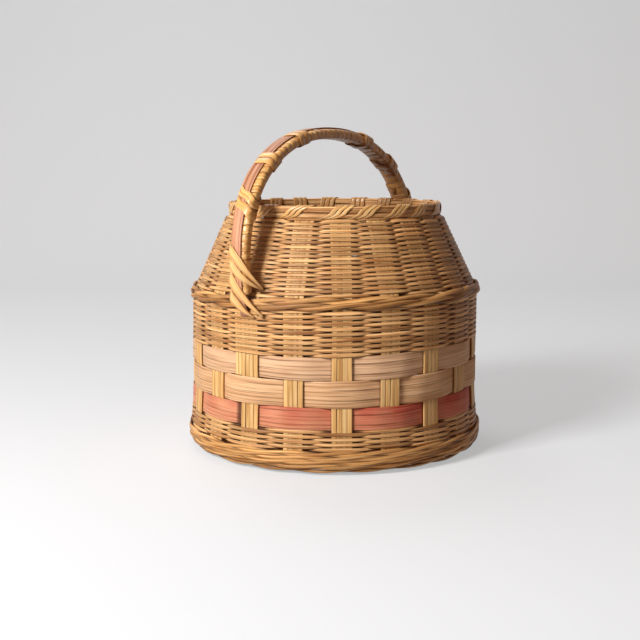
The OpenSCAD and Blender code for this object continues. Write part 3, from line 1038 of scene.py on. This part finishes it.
@dataclass
class Rim:
    """The rolled rim: flat strips outside and inside the ribs' tops, bound by a slanting strip."""

    low: float = 223.4
    strip_half_h: float = 2.15
    outer_r: float = 101.3
    inner_r: float = 98.2
    outer_mid: float = 229.0
    wraps: int = 20
    wrap_steps: int = 36
    wrap_half_t: float = 0.42
    wrap_lie: float = 1.55
    wrap_half_z: float = 6.0
    wrap_boxy: float = 0.7
    wrap_tone: float = 0.72
    lane_step: float = 5.2
    lane_share: float = 0.96
    first_wrap: float = 0.7
    stray_wrap: int = 11
    stray_by: float = 0.27
    # Painted shade on the binding's inside face, towards the axis.
    inner_face_shade: float = 0.55

    def rings(self, name: str, radii: list[float], heights: list[float], half_t: float, half_h: float,
              seed: int, slot: str, node: str) -> None:
        """Builds flat strips that lie on the rim.

        Args:
            name: the piece's name.
            radii: radius of each strip.
            heights: height of each strip's middle.
            half_t: half the strips' radial size.
            half_h: half their height.
            seed: seed of their small errors.
            slot: material slot.
            node: CAD node that the piece stands for.
        """
        rng = np.random.default_rng(seed)
        turn = full_turn(360)
        rows = len(radii)
        r = np.array(radii)[:, None] + 0.2 * drift(rng, rows, turn, (5, 9, 14))
        z = np.array(heights)[:, None] + 0.35 * drift(rng, rows, turn, (3, 7, 11))
        out = ring(np.ones((rows, 1)), turn[None, :], np.zeros((rows, 1)))
        tone = tones(rng, rows, turn, 0.2, 0.15, (2, 5))
        piece = Piece(name)
        # Painted shade along the tall strips' edges, where they meet.
        piece.add(Strips(ring(r, turn[None, :], z), out, half_t, half_h, around=10, boxy=0.7, tone=tone,
                         painted_shade=seam(10, 0.7) if half_h > half_t else 0.0, lead=leads(rng, rows)))
        piece.build(HONEY, slot, node)

    def binding(self) -> None:
        """Builds the binding: three splints side by side that wind round the rim, one turn per rib.

        The winding goes round a superellipse section; the angle round the axis grows evenly with it,
        so the strip slants up to the right outside and inside alike. Each turn strays a little to a
        side, and one of them more. The splints' width is what the slant leaves of lane_step.
        """
        rng = np.random.default_rng(77)
        t = np.arange(self.wraps * self.wrap_steps) / self.wrap_steps
        angle = 2.0 * math.pi * t
        mid_r, mid_z = (self.outer_r + self.inner_r) / 2.0, self.outer_mid
        half_r = (self.outer_r - self.inner_r) / 2.0 + self.wrap_lie
        half_z = self.wrap_half_z
        lanes = np.array([-1.0, 0.0, 1.0]) * self.lane_step / self.outer_r
        count = len(lanes)
        astray = rng.normal(0.0, 0.06, self.wraps)
        astray[self.stray_wrap] = self.stray_by
        knots = np.arange(self.wraps + 1)
        place = t + self.first_wrap + 0.12 * np.sin(angle) - 0.08 * (1.0 - np.cos(angle)) \
            + np.interp(t, knots, np.append(astray, astray[0]))
        turn = place * WALL.step + math.radians(WALL.rib_turn)
        wobble = drift(rng, 1, turn, (7, 13, 19))[0] * 0.006
        lane_turn = (turn + wobble)[None, :] + lanes[:, None]
        s = squared_off(np.sin(angle), self.wrap_boxy)
        r = mid_r + half_r * squared_off(np.cos(angle), self.wrap_boxy)
        z = mid_z + half_z * s
        centre = ring(r[None, :], lane_turn, z[None, :])
        normal_r, normal_z = np.cos(angle) / half_r, np.sin(angle) / half_z
        size = np.sqrt(normal_r**2 + normal_z**2)
        out = ring((normal_r / size)[None, :], lane_turn, (normal_z / size)[None, :])
        tone = tones(rng, count, turn, 0.14, 0.2, (3, 8, 15), middle=self.wrap_tone)
        climb = np.hypot(np.roll(r, -1) - np.roll(r, 1), np.roll(z, -1) - np.roll(z, 1))
        hop = np.linalg.norm(np.roll(centre, -1, axis=1) - np.roll(centre, 1, axis=1), axis=-1)
        half_w = 0.5 * self.lane_step * climb[None, :] / hop * self.lane_share
        # Painted shade on the underside of each turn and along its edges.
        below = 0.5 * np.clip(-s, 0.0, 1.0)[None, :, None] ** 4 + seam(8, 0.45)
        # Painted shade on the turns' inside face, towards the axis.
        inside = self.inner_face_shade * smooth_step(-np.cos(angle) * 1.5)[None, :] * np.ones((count, 1))
        piece = Piece("rim_binding")
        piece.add(Strips(centre, out, self.wrap_half_t, half_w, around=8, boxy=0.6, tone=tone,
                         painted_shade=below, mark=inside, lead=leads(rng, count)), settled=False)
        piece.build(BINDING, "wrap", "rim_wraps")

    def dress(self) -> None:
        """Builds the rim's pieces."""
        z = self.low + self.strip_half_h
        self.rings("rim_outer_strips", [self.outer_r + 0.2, self.outer_r + 0.1], [z + 0.6, z + 5.1],
                   half_t=0.8, half_h=self.strip_half_h, seed=31, slot="hoop", node="rim_outer_hoop")
        self.rings("rim_inner_strips", [self.inner_r, self.inner_r - 0.1], [z + 0.4, z + 4.9],
                   half_t=0.6, half_h=self.strip_half_h, seed=32, slot="hoop", node="rim_inner_hoop")
        self.rings("rim_top_splints", [self.outer_r - 0.3, self.inner_r + 0.6], [233.2, 233.3],
                   half_t=1.5, half_h=0.9, seed=33, slot="rim_strip", node="rim_top_strip")
        self.binding()


@dataclass
class Base:
    """The flat base: a mat of crossed strips and rounds woven over the ribs' feet."""

    inner_r: float = 65.6
    outer_r: float = 123.6
    rounds: int = 18
    round_half_t: float = 0.7
    lie: float = 1.35
    lift: float = 0.75
    swing: float = 0.25
    straight: float = 10.0
    straight_most: float = 0.42
    foot_rounds: int = 6
    foot_reach: float = 60.0
    foot_in: float = 1.7
    foot_up: float = 1.9
    foot_half_t: float = 0.8
    foot_half_h: float = 1.6

    def dress(self) -> None:
        """Builds the rounds and finishes the mats.

        The flat rounds are rings that swing up and down over the ribs' feet. The last ones lie
        inside the foot's quarter ellipse, up to foot_reach degrees of its turn.
        """
        rng = np.random.default_rng(91)
        turn = full_turn(12 * WALL.rib_count)
        pitch = (self.outer_r - self.inner_r) / self.rounds
        r = self.inner_r + (np.arange(self.rounds) + 0.5) * pitch
        share = np.clip(self.straight / (r * WALL.step), 0.0, self.straight_most)
        at = passing(turn, over_under(self.rounds), share, share)
        z = self.lie + self.lift + self.swing * at
        out = ring(np.zeros((self.rounds, 1)), turn[None, :], np.ones((self.rounds, 1)))
        tone = np.clip(rng.normal(0.5, 0.2, (self.rounds, 1)), 0.0, 1.0)
        piece = Piece("base_rounds")
        # A little painted shade, even over the rounds.
        piece.add(Strips(ring(r[:, None], turn[None, :], z), out, self.round_half_t, pitch / 2.0 * 1.02,
                         tone=tone, painted_shade=0.1, lead=leads(rng, self.rounds)))
        turns = np.linspace(0.08, 1.0, self.foot_rounds) * math.radians(self.foot_reach)
        up, aside = np.cos(turns), np.sin(turns)
        rr = WALL.foot_r - WALL.foot_turn * (1.0 - aside) - self.foot_in * aside
        zz = WALL.foot_z - (WALL.foot_z - WALL.rib_lie) * up + self.foot_up * up
        out = ring(-aside[:, None], turn[None, :], up[:, None])
        # A little painted shade, even over the foot's rounds.
        piece.add(Strips(ring(rr[:, None], turn[None, :], zz[:, None]), out, self.foot_half_t,
                         self.foot_half_h, tone=0.45, painted_shade=0.15, lead=leads(rng, self.foot_rounds)))
        piece.build(HONEY, "base", "base_weave")
        for name in ("base_mat_lower", "base_mat_upper"):
            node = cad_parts[name]
            node.data.materials.clear()
            node.data.materials.append(BASE.material())


@dataclass(frozen=True)
class Lash:
    """One flat strip of a foot lashing, through places outwards of the axis, sideways and up."""

    places: tuple[tuple[float, float, float], ...]
    half_w: float
    end_share: float


@dataclass
class HoopHandle:
    """The rigid hoop handle: core, wraps, leader with straps over it, tails and lashings."""

    half_w: float = 142.2
    spring_z: float = 178.0
    rise: float = 121.6
    power: float = 2.2
    foot_z: float = 157.35
    lean: float = 3.0
    slim: float = 0.74
    slim_from: float = 105.0
    foot_step: float = 1.5
    core_w: float = 16.6
    core_t: float = 7.4
    gap: float = 0.3
    wrap_room: float = 0.9
    wrap_pitch: float = 7.4
    wrap_half_t: float = 0.42
    wrap_steps: int = 32
    leader_half_t: float = 0.6
    leader_w: float = 13.0
    leader_y: float = 2.9
    leader_foot: tuple[tuple[float, float, float], ...] = (
        (-140.4, 0.0, 139.0), (-140.8, 0.0, 143.35), (-143.9, 0.0, 147.75))
    strap_half_w: float = 3.75
    strap_half_t: float = 0.5
    strap_steps: int = 36
    strap_places: tuple[float, ...] = (0.177, 0.277, 0.384, 0.616, 0.723, 0.823)
    strap_slants: tuple[float, ...] = (20.0, 5.0, 3.0, -3.0, -5.0, -14.0)
    tail_z: float = 85.65
    tail_top: float = 145.75
    tail_sides: tuple[float, float] = (-11.05, -14.55)
    lash_half_t: float = 0.48
    line: Array = field(init=False)
    runs: Array = field(init=False)

    def __post_init__(self) -> None:
        """Works out the middle line: a straight leg, a superellipse arch and the other leg.

        On the arch x and z go by the cosine and sine raised to 2 / power. The line is then
        measured out in even steps.
        """
        a = np.linspace(0.0, math.pi, 721)
        x = -self.half_w * np.sign(np.cos(a)) * np.abs(np.cos(a)) ** (2.0 / self.power)
        z = self.spring_z + self.rise * np.abs(np.sin(a)) ** (2.0 / self.power)
        x = np.concatenate([[-self.half_w], x, [self.half_w]])
        z = np.concatenate([[self.foot_z], z, [self.foot_z]])
        run = np.concatenate([[0.0], np.cumsum(np.hypot(np.diff(x), np.diff(z)))])
        even = np.linspace(0.0, run[-1], 1200)
        self.line = np.stack([np.interp(even, run, x), np.interp(even, run, z)], axis=-1)
        self.runs = even

    def at(self, s: Array) -> tuple[Array, Array]:
        """Point and outward normal of the upright hoop at a distance along it.

        Args:
            s: distances from the left foot.

        Returns:
            Points and normals, each with x, y and z last.
        """
        x = np.interp(s, self.runs, self.line[:, 0])
        z = np.interp(s, self.runs, self.line[:, 1])
        slope = unit(np.gradient(self.line, axis=0))
        dx = np.interp(s, self.runs, slope[:, 0])
        dz = np.interp(s, self.runs, slope[:, 1])
        zero = np.zeros_like(x)
        return np.stack([x, zero, z], axis=-1), unit(np.stack([-dz, zero, dx], axis=-1))

    def leaned(self, points: Array, about: float = 0.0) -> Array:
        """Turns points or directions about the line through the feet, so that the hoop leans to +Y.

        Args:
            points: what is turned, with x, y and z last.
            about: height of the line, 0 for directions.

        Returns:
            The turned points or directions.
        """
        c, s = math.cos(math.radians(self.lean)), math.sin(math.radians(self.lean))
        y, z = points[..., 1], points[..., 2] - about
        return np.stack([points[..., 0], y * c + z * s, about - y * s + z * c], axis=-1)

    def girth(self, s: Array) -> Array:
        """Share of its full width that the handle has at a distance along it: slim at the feet."""
        near = np.minimum(s, self.runs[-1] - s)
        return self.slim + (1.0 - self.slim) * smooth_step((near - 8.0) / self.slim_from)

    def aside(self, s: Array) -> Array:
        """Small step to -Y of the slim feet, which fades as the handle gets its full width."""
        return self.foot_step * (1.0 - self.girth(s)) / (1.0 - self.slim)

    def wind(self, s: Array, section: Array, half_out: float, half_side: float, boxy: float,
             shift: float = 0.0) -> tuple[Array, Array]:
        """Path of a strip wound round the hoop.

        At distance s it lies on a superellipse of the given half sizes at the given section angle,
        0 outwards and a quarter turn to +Y. The sideways size follows the handle's girth.

        Args:
            s: distances along the hoop.
            section: section angles, in radians.
            half_out: half size of the section along the hoop's normal.
            half_side: half size sideways, where the handle is full.
            boxy: power of the section's cosine and sine, the less the squarer.
            shift: shift of the section outwards.

        Returns:
            Centre points and outward directions.
        """
        point, normal = self.at(s)
        c, d = np.cos(section), np.sin(section)
        wide = half_side * self.girth(s)
        y = np.zeros_like(point)
        y[..., 1] = 1.0
        centre = point + normal * (shift + half_out * squared_off(c, boxy))[..., None] \
            + y * (wide * squared_off(d, boxy) - self.aside(s))[..., None]
        nc = squared_off(c, 2.0 - boxy) / half_out
        nd = squared_off(d, 2.0 - boxy) / wide
        out = unit(normal * nc[..., None] + y * nd[..., None])
        return self.leaned(centre, self.foot_z), self.leaned(out)

    def core(self) -> None:
        """Builds the core as one strip along the hoop."""
        s = np.linspace(0.0, self.runs[-1], 240)
        point, normal = self.at(s)
        half_w = self.core_w / 2.0 * self.girth(s)
        piece = Piece("handle_core_rod")
        piece.add(Strips(self.leaned(point, self.foot_z)[None], self.leaned(normal)[None], self.core_t / 2.0,
                         half_w[None], closed=False, around=16, boxy=0.5, tone=0.4), settled=False)
        piece.build(CORE, "handle_core", "handle_core")

    def wraps(self) -> None:
        """Builds the flat strip that winds round the core from foot to foot.

        Its inner side, which faces into the hoop, gets painted shade through the stain-and-shade value, which
        grows with the part of the section angle that faces inwards.
        """
        rng = np.random.default_rng(51)
        length = self.runs[-1]
        count = int(length // self.wrap_pitch)
        t = np.arange(count * self.wrap_steps) / self.wrap_steps
        s = (t + 0.5) / count * length + 0.3 * np.sin(t * 1.7)
        half_out = self.core_t / 2.0 + self.gap + self.wrap_half_t
        half_side = self.core_w / 2.0 + self.gap + self.wrap_half_t
        section = -2.0 * math.pi * t
        centre, out = self.wind(s, section, half_out, half_side, boxy=0.55)
        wave = np.interp(t, np.arange(count + 1), rng.normal(0, 0.7, count + 1))
        tone = np.clip(0.5 + 0.25 * wave, 0.0, 1.0)
        # Painted shade on the winding's side that faces into the hoop, and a little along its edges.
        inner_side_shade = 0.55 * smooth_step(0.35 - np.cos(section)) * (0.85 + 0.15 * np.sin(t * 2.3))
        piece = Piece("handle_winding")
        piece.add(Strips(centre[None], out[None], self.wrap_half_t, self.wrap_pitch / 2.0 - 0.02,
                         closed=False, edge=Edge.FLAT, around=12, tone=tone[None], painted_shade=seam(12, 0.12),
                         mark=inner_side_shade[None]), settled=False)
        piece.build(WINDING, "wrap", "handle_wraps")

    def leader(self) -> None:
        """Builds the leader strip, which lies on the wraps and draws in past the ridge at both feet."""
        shift = self.core_t / 2.0 + self.gap + self.wrap_room + self.gap + self.leader_half_t
        s = np.linspace(0.0, self.runs[-1], 300)
        point, normal = self.at(s)
        tail = np.array(self.leader_foot)
        count = len(tail)
        path = np.concatenate([tail, point + normal * shift, tail[::-1] * np.array([-1.0, 1.0, 1.0])])
        ends = np.array([[-1.0, 0.0, 0.0]] * count)
        out = np.concatenate([ends, normal, -ends])
        wide = np.concatenate([np.full(count, self.slim), self.girth(s), np.full(count, self.slim)])
        path[:, 1] += self.leader_y * wide**2 - self.foot_step * (1.0 - wide) / (1.0 - self.slim)
        step = np.arange(len(path))
        half_w = self.leader_w / 2.0 * wide + 0.2 * np.sin(step / 14.0)
        tone = 0.5 + 0.2 * np.sin(step / 23.0)
        # Painted shade along the leader's edges.
        piece = Piece("handle_leader_strip")
        piece.add(Strips(self.leaned(path, self.foot_z)[None], self.leaned(out)[None], self.leader_half_t,
                         half_w[None], closed=False, edge=Edge.FLAT, around=16, tone=tone[None],
                         painted_shade=seam(16, 0.9)), settled=False)
        piece.build(LEADER, "leader", "handle_leader")

    def straps(self) -> None:
        """Builds the pairs of strips that cross over the leader, each two turns of a slanting winding.

        A strap goes forward by its own width each turn; its slant moves it to and fro with the sine
        of the section angle, so that it crosses the outer face aslant.
        """
        rng = np.random.default_rng(57)
        length = self.runs[-1]
        room = 4.0 * self.gap + 2.0 * self.wrap_room + 2.0 * self.leader_half_t
        half_out = (self.core_t + room + 0.6) / 2.0 + 0.4
        half_side = self.core_w / 2.0 + self.gap + self.wrap_room + self.gap + self.strap_half_t
        t = np.linspace(-1.0, 1.0, 2 * self.strap_steps + 1)
        section = -2.0 * math.pi * t + math.pi
        # Painted shade on the straps' side that faces into the hoop; their edges get painted shade too.
        inner_side_shade = 0.8 * smooth_step(0.3 - np.cos(section))
        piece = Piece("handle_crossing_strips")
        for place, slant in zip(self.strap_places, self.strap_slants):
            lie = math.atan2(abs(slant), 2.0 * half_side)
            s = place * length + t * 2.0 * self.strap_half_w / math.cos(lie) + slant / 2.0 * np.sin(section)
            centre, out = self.wind(s, section, half_out, half_side, boxy=0.6, shift=0.75)
            piece.add(Strips(centre[None], out[None], self.strap_half_t, self.strap_half_w - 0.1,
                             closed=False, edge=Edge.FLAT, around=12, tone=float(rng.uniform(0.55, 0.8)),
                             painted_shade=seam(12, 0.8), mark=inner_side_shade[None], lead=leads(rng, 1)), settled=False)
        piece.build(WINDING, "wrap", "handle_straps")

    def smoothed(self, places: tuple[tuple[float, float, float], ...]) -> Array:
        """Joins given places by a line and smooths it three times with a mean of five points.

        Args:
            places: corners of the line.

        Returns:
            The smoothed points.
        """
        knots = np.array(places)
        run = np.concatenate([[0.0], np.cumsum(np.linalg.norm(np.diff(knots, axis=0), axis=1))])
        even = np.linspace(0.0, run[-1], 64)
        path = np.stack([np.interp(even, run, knots[:, i]) for i in range(3)], axis=-1)
        for _ in range(3):
            padded = np.pad(path, ((2, 2), (0, 0)), mode="reflect", reflect_type="odd")
            path = sum(padded[i:i + len(path)] for i in range(5)) / 5.0
        return path

    def lashings(self) -> None:
        """Builds the slanting lashings at both feet.

        The places are those of the left foot, before the hoop leans; the right foot has the same
        ones turned half round. A strip turns its face sideways where it goes round the leg's edge,
        and gets narrower towards its lower end, which painted shade darkens.
        """
        for half_round, name in ((1.0, "left"), (-1.0, "right")):
            piece = Piece(f"foot_lashing_{name}")
            side = np.array([[0.0, half_round, 0.0]])
            for lash in LASHES:
                path = self.smoothed(lash.places) * np.array([half_round, half_round, 1.0])
                axis = np.array([[-half_round, 0.0, 0.0]])
                over = np.linspace(0.0, 1.0, len(path))
                aside = path[:, 1] * half_round
                out = unit(axis + side * np.clip((aside - 5.5) / 3.0, 0.0, 1.4)[:, None])
                half_w = lash.half_w * (1.0 + (lash.end_share - 1.0) * smooth_step((over - 0.35) / 0.65))
                # Painted shade on the strip's lower end, and along its edges.
                mark = 0.5 * smooth_step((over - 0.75) / 0.25)
                piece.add(Strips(self.leaned(path, self.foot_z)[None], out[None], self.lash_half_t,
                                 half_w[None], closed=False, edge=Edge.FLAT, around=12, tone=0.72,
                                 painted_shade=seam(12, 0.8), mark=mark[None]), settled=False)
            piece.build(BINDING, "lashing", f"lashing_{name}")

    def tails(self) -> None:
        """Builds each tail, two splints that run down beside the foot's rib inside the weave."""
        rng = np.random.default_rng(59)
        z = np.linspace(self.tail_z, self.tail_top, 90)
        for foot, name in ((1, "left"), (0, "right")):
            angle = WALL.rib_angle(foot * WALL.rib_count // 2)
            ahead = np.array([math.cos(angle), math.sin(angle), 0.0])
            aside = np.array([-math.sin(angle), math.cos(angle), 0.0])
            piece = Piece(f"handle_tail_{name}_splints")
            for y in self.tail_sides:
                path = WALL.radius(z)[:, None] * ahead + (y + 0.15 * np.sin(z / 13.0))[:, None] * aside
                path[:, 2] = z
                # Painted shade along the splints' edges.
                piece.add(Strips(path[None], ahead[None, None], 0.6, 1.7, closed=False, around=10, boxy=0.4,
                                 tone=float(rng.uniform(0.4, 0.8)), painted_shade=seam(10, 0.4)))
            piece.build(STRAW, "handle_core", f"handle_tail_{name}")

    def dress(self) -> None:
        """Builds the handle's pieces."""
        self.core()
        self.wraps()
        self.leader()
        self.straps()
        self.lashings()
        self.tails()


LASHES = (
    Lash(((-144.0, 9.6, 201.0), (-147.2, 7.6, 199.5), (-149.2, 3.0, 194.4), (-149.2, -4.5, 186.0),
          (-147.8, -9.0, 179.5), (-142.0, -13.3, 171.0), (-136.0, -15.6, 164.6), (-133.8, -16.2, 161.6)),
         half_w=3.9, end_share=0.4),
    Lash(((-144.0, 9.4, 190.0), (-147.2, 7.8, 188.0), (-149.2, 3.0, 181.5), (-149.15, -4.0, 174.6),
          (-147.2, -8.6, 170.6), (-141.6, -12.6, 166.0), (-136.4, -15.0, 163.0), (-134.2, -15.8, 161.8)),
         half_w=3.7, end_share=0.35),
    Lash(((-144.0, 9.4, 181.0), (-147.2, 8.2, 178.0), (-149.2, 5.0, 169.0), (-149.2, -1.5, 160.5),
          (-147.2, -6.0, 154.5), (-144.4, -11.0, 148.0), (-141.4, -16.5, 141.5), (-139.6, -19.5, 138.2)),
         half_w=4.2, end_share=0.35),
    Lash(((-144.0, 9.8, 166.0), (-147.2, 8.8, 162.0), (-149.2, 6.0, 155.5), (-147.4, 1.0, 149.0),
          (-145.2, -3.5, 143.8), (-142.4, -8.0, 139.6), (-140.8, -10.5, 137.6)),
         half_w=4.0, end_share=0.3),
)


@dataclass
class Studio:
    """Pale floor and backdrop, soft lights and the camera at the photograph's angle."""

    view_turn: float = -54.5
    pitch: float = 8.43
    distance: float = 1074.5
    side_step: float = 14.4
    height: float = 277.4
    focal_px: float = 1098.5
    frame_px: float = 640.0
    key_watts: float = 29.0
    back_watts: float = 10.0
    fill: float = 0.13
    fill_tint: Colour = (1.0, 0.52, 0.28)
    paper: Colour = srgb(188, 189, 192)
    paper_lift: float = 0.43
    lift_tint: Colour = (0.95, 0.985, 1.0)
    beyond: float = 0.66
    beyond_tint: Colour = (0.97, 0.99, 1.0)
    key_tint: Colour = (1.0, 0.99, 0.975)
    back_tint: Colour = (1.0, 1.0, 1.0)
    half_wide: float = 6.0
    sweep_back: float = 1.3
    sweep_bend: float = 0.7
    sweep_top: float = 5.0

    def place(self, right: float, ahead: float, up: float) -> Vector:
        """Turns a place given as the camera sees it into the frame's coordinates.

        Args:
            right: metres to the camera's right of the creel's axis.
            ahead: metres beyond the axis, away from the camera.
            up: metres above the floor.

        Returns:
            The place.
        """
        turn = math.radians(self.view_turn)
        x = right * math.cos(turn) - ahead * math.sin(turn)
        y = right * math.sin(turn) + ahead * math.cos(turn)
        return Vector((x, y, up))

    def camera(self) -> None:
        """Makes the camera, level but for its pitch, with the focal length in the photograph's pixels."""
        data = bpy.data.cameras.new("camera")
        data.sensor_width = 36.0
        data.lens = self.focal_px / self.frame_px * data.sensor_width
        data.clip_start, data.clip_end = 0.05, 20.0
        made = bpy.data.objects.new("camera", data)
        made.location = self.place(-self.side_step * MM, -self.distance * MM, self.height * MM)
        made.rotation_euler = Euler((math.radians(90.0 - self.pitch), 0.0, math.radians(self.view_turn)))
        bpy.context.scene.collection.objects.link(made)
        bpy.context.scene.camera = made

    def lamp(self, name: str, where: Vector, aim: Vector, size: float, watts: float, tint: Colour) -> None:
        """Makes a square soft lamp.

        Args:
            name: the lamp's name.
            where: its place.
            aim: the point that it faces.
            size: its side, in metres.
            watts: its power.
            tint: its colour.
        """
        data = bpy.data.lights.new(name, "AREA")
        data.shape, data.size, data.energy, data.color = "SQUARE", size, watts, tint
        made = bpy.data.objects.new(name, data)
        made.location = where
        made.rotation_euler = (aim - where).to_track_quat("-Z", "Y").to_euler()
        bpy.context.scene.collection.objects.link(made)

    def seen(self, bench: Bench) -> bpy.types.NodeSocket:
        """Tells rays that show a surface from rays that carry its light to others.

        Args:
            bench: the material that asks.

        Returns:
            1 for a ray from the camera, off a gloss or through glass, and 0 for any other.
        """
        path = bench.add("LightPath").outputs
        direct = bench.maths("ADD", path["Is Camera Ray"], path["Is Glossy Ray"])
        return bench.maths("ADD", direct, path["Is Transmission Ray"], clamp=True)

    def sweep(self) -> None:
        """Makes the floor and a backdrop that rises from it far behind, as one smooth sheet.

        The sheet is a strip whose profile is flat, then a quarter circle, then upright. Its paper
        shines a little for rays that show it, so that it looks pale without lighting the creel.
        """
        arc = np.linspace(0.0, math.pi / 2.0, 16)
        back, bend, side = self.sweep_back, self.sweep_bend, self.half_wide
        ahead = np.concatenate([[-side, 0.0], back + bend * np.sin(arc), [back + bend]])
        up = np.concatenate([[0.0, 0.0], bend * (1.0 - np.cos(arc)), [self.sweep_top]])
        rows = [(self.place(-side, a, u), self.place(side, a, u)) for a, u in zip(ahead, up)]
        verts = [tuple(p) for pair in rows for p in pair]
        faces = [(2 * i, 2 * i + 1, 2 * i + 3, 2 * i + 2) for i in range(len(rows) - 1)]
        mesh = bpy.data.meshes.new("sweep")
        mesh.from_pydata(verts, [], faces)
        mesh.polygons.foreach_set("use_smooth", [True] * len(faces))
        bench = Bench("sweep_paper")
        paper = bench.add("BsdfDiffuse", {"Color": rgba(self.paper)})
        strength = bench.maths("MULTIPLY", self.seen(bench), self.paper_lift)
        lift = bench.add("Emission", {"Color": rgba(self.lift_tint), "Strength": strength})
        both = bench.add("AddShader", {0: paper.outputs[0], 1: lift.outputs[0]})
        out = bench.add("OutputMaterial")
        bench.tree.links.new(both.outputs[0], out.inputs[0])
        mesh.materials.append(bench.material)
        made = bpy.data.objects.new("sweep", mesh)
        bpy.context.scene.collection.objects.link(made)

    def light(self) -> None:
        """Makes the key lamp at the left, the lamp high behind, and the surroundings.

        The surroundings light the creel weakly with a warm tint and look pale to the camera.
        """
        aim = Vector((0.0, 0.0, 0.13))
        self.lamp("key", self.place(-0.98, -1.02, 0.95), aim, 0.45, self.key_watts, self.key_tint)
        self.lamp("back", self.place(-0.6, 1.3, 1.9), aim, 1.0, self.back_watts, self.back_tint)
        world = bpy.data.worlds.new("surroundings")
        world.use_nodes = True
        tree = world.node_tree
        weak = tree.nodes["Background"]
        weak.inputs[0].default_value = rgba(self.fill_tint)
        weak.inputs[1].default_value = self.fill
        pale = tree.nodes.new("ShaderNodeBackground")
        pale.inputs[0].default_value = rgba(self.beyond_tint)
        pale.inputs[1].default_value = self.beyond
        both = tree.nodes.new("ShaderNodeMixShader")
        path = tree.nodes.new("ShaderNodeLightPath")
        tree.links.new(path.outputs["Is Camera Ray"], both.inputs[0])
        tree.links.new(weak.outputs[0], both.inputs[1])
        tree.links.new(pale.outputs[0], both.inputs[2])
        tree.links.new(both.outputs[0], tree.nodes["World Output"].inputs[0])
        bpy.context.scene.world = world
        bpy.context.scene.view_settings.view_transform = "Standard"


def main() -> None:
    """Builds the scene: camera, wall, rim, base, handle and studio."""
    logging.basicConfig(level=logging.INFO, format="%(message)s")
    studio = Studio()
    studio.camera()
    zones = [ThinWeave("foot_weave", 22.05, 8, 2.25, 21),
             ThinWeave("middle_weave", 106.85, 18, 2.25, 22),
             ThinWeave("shoulder_weave", 156.95, 34, 1.95, 23)]
    bands = [WideBand("lower_band", 40.45, 20.2, 1, SALMON, 41, stain_low=0.06, stain_high=0.5),
             WideBand("middle_band", 61.05, 24.2, 0, TAN, 42),
             WideBand("upper_band", 85.65, 20.8, 1, MAUVE, 43)]
    RibSet().dress(zones, bands)
    for part in (*zones, *bands):
        part.dress()
    Twining("foot_twine", 3.4, 5, 3.65, 2.3, 61, climb=1.35, reach=0.55, half_h=1.5).dress()
    Twining("ridge_twine", 147.75, 2, 4.4, 2.9, 62, climb=1.6, reach=0.8, half_h=1.95).dress()
    Rim().dress()
    Base().dress()
    HoopHandle().dress()
    studio.sweep()
    studio.light()
    bpy.context.view_layer.update()


if __name__ == "__main__":
    main()
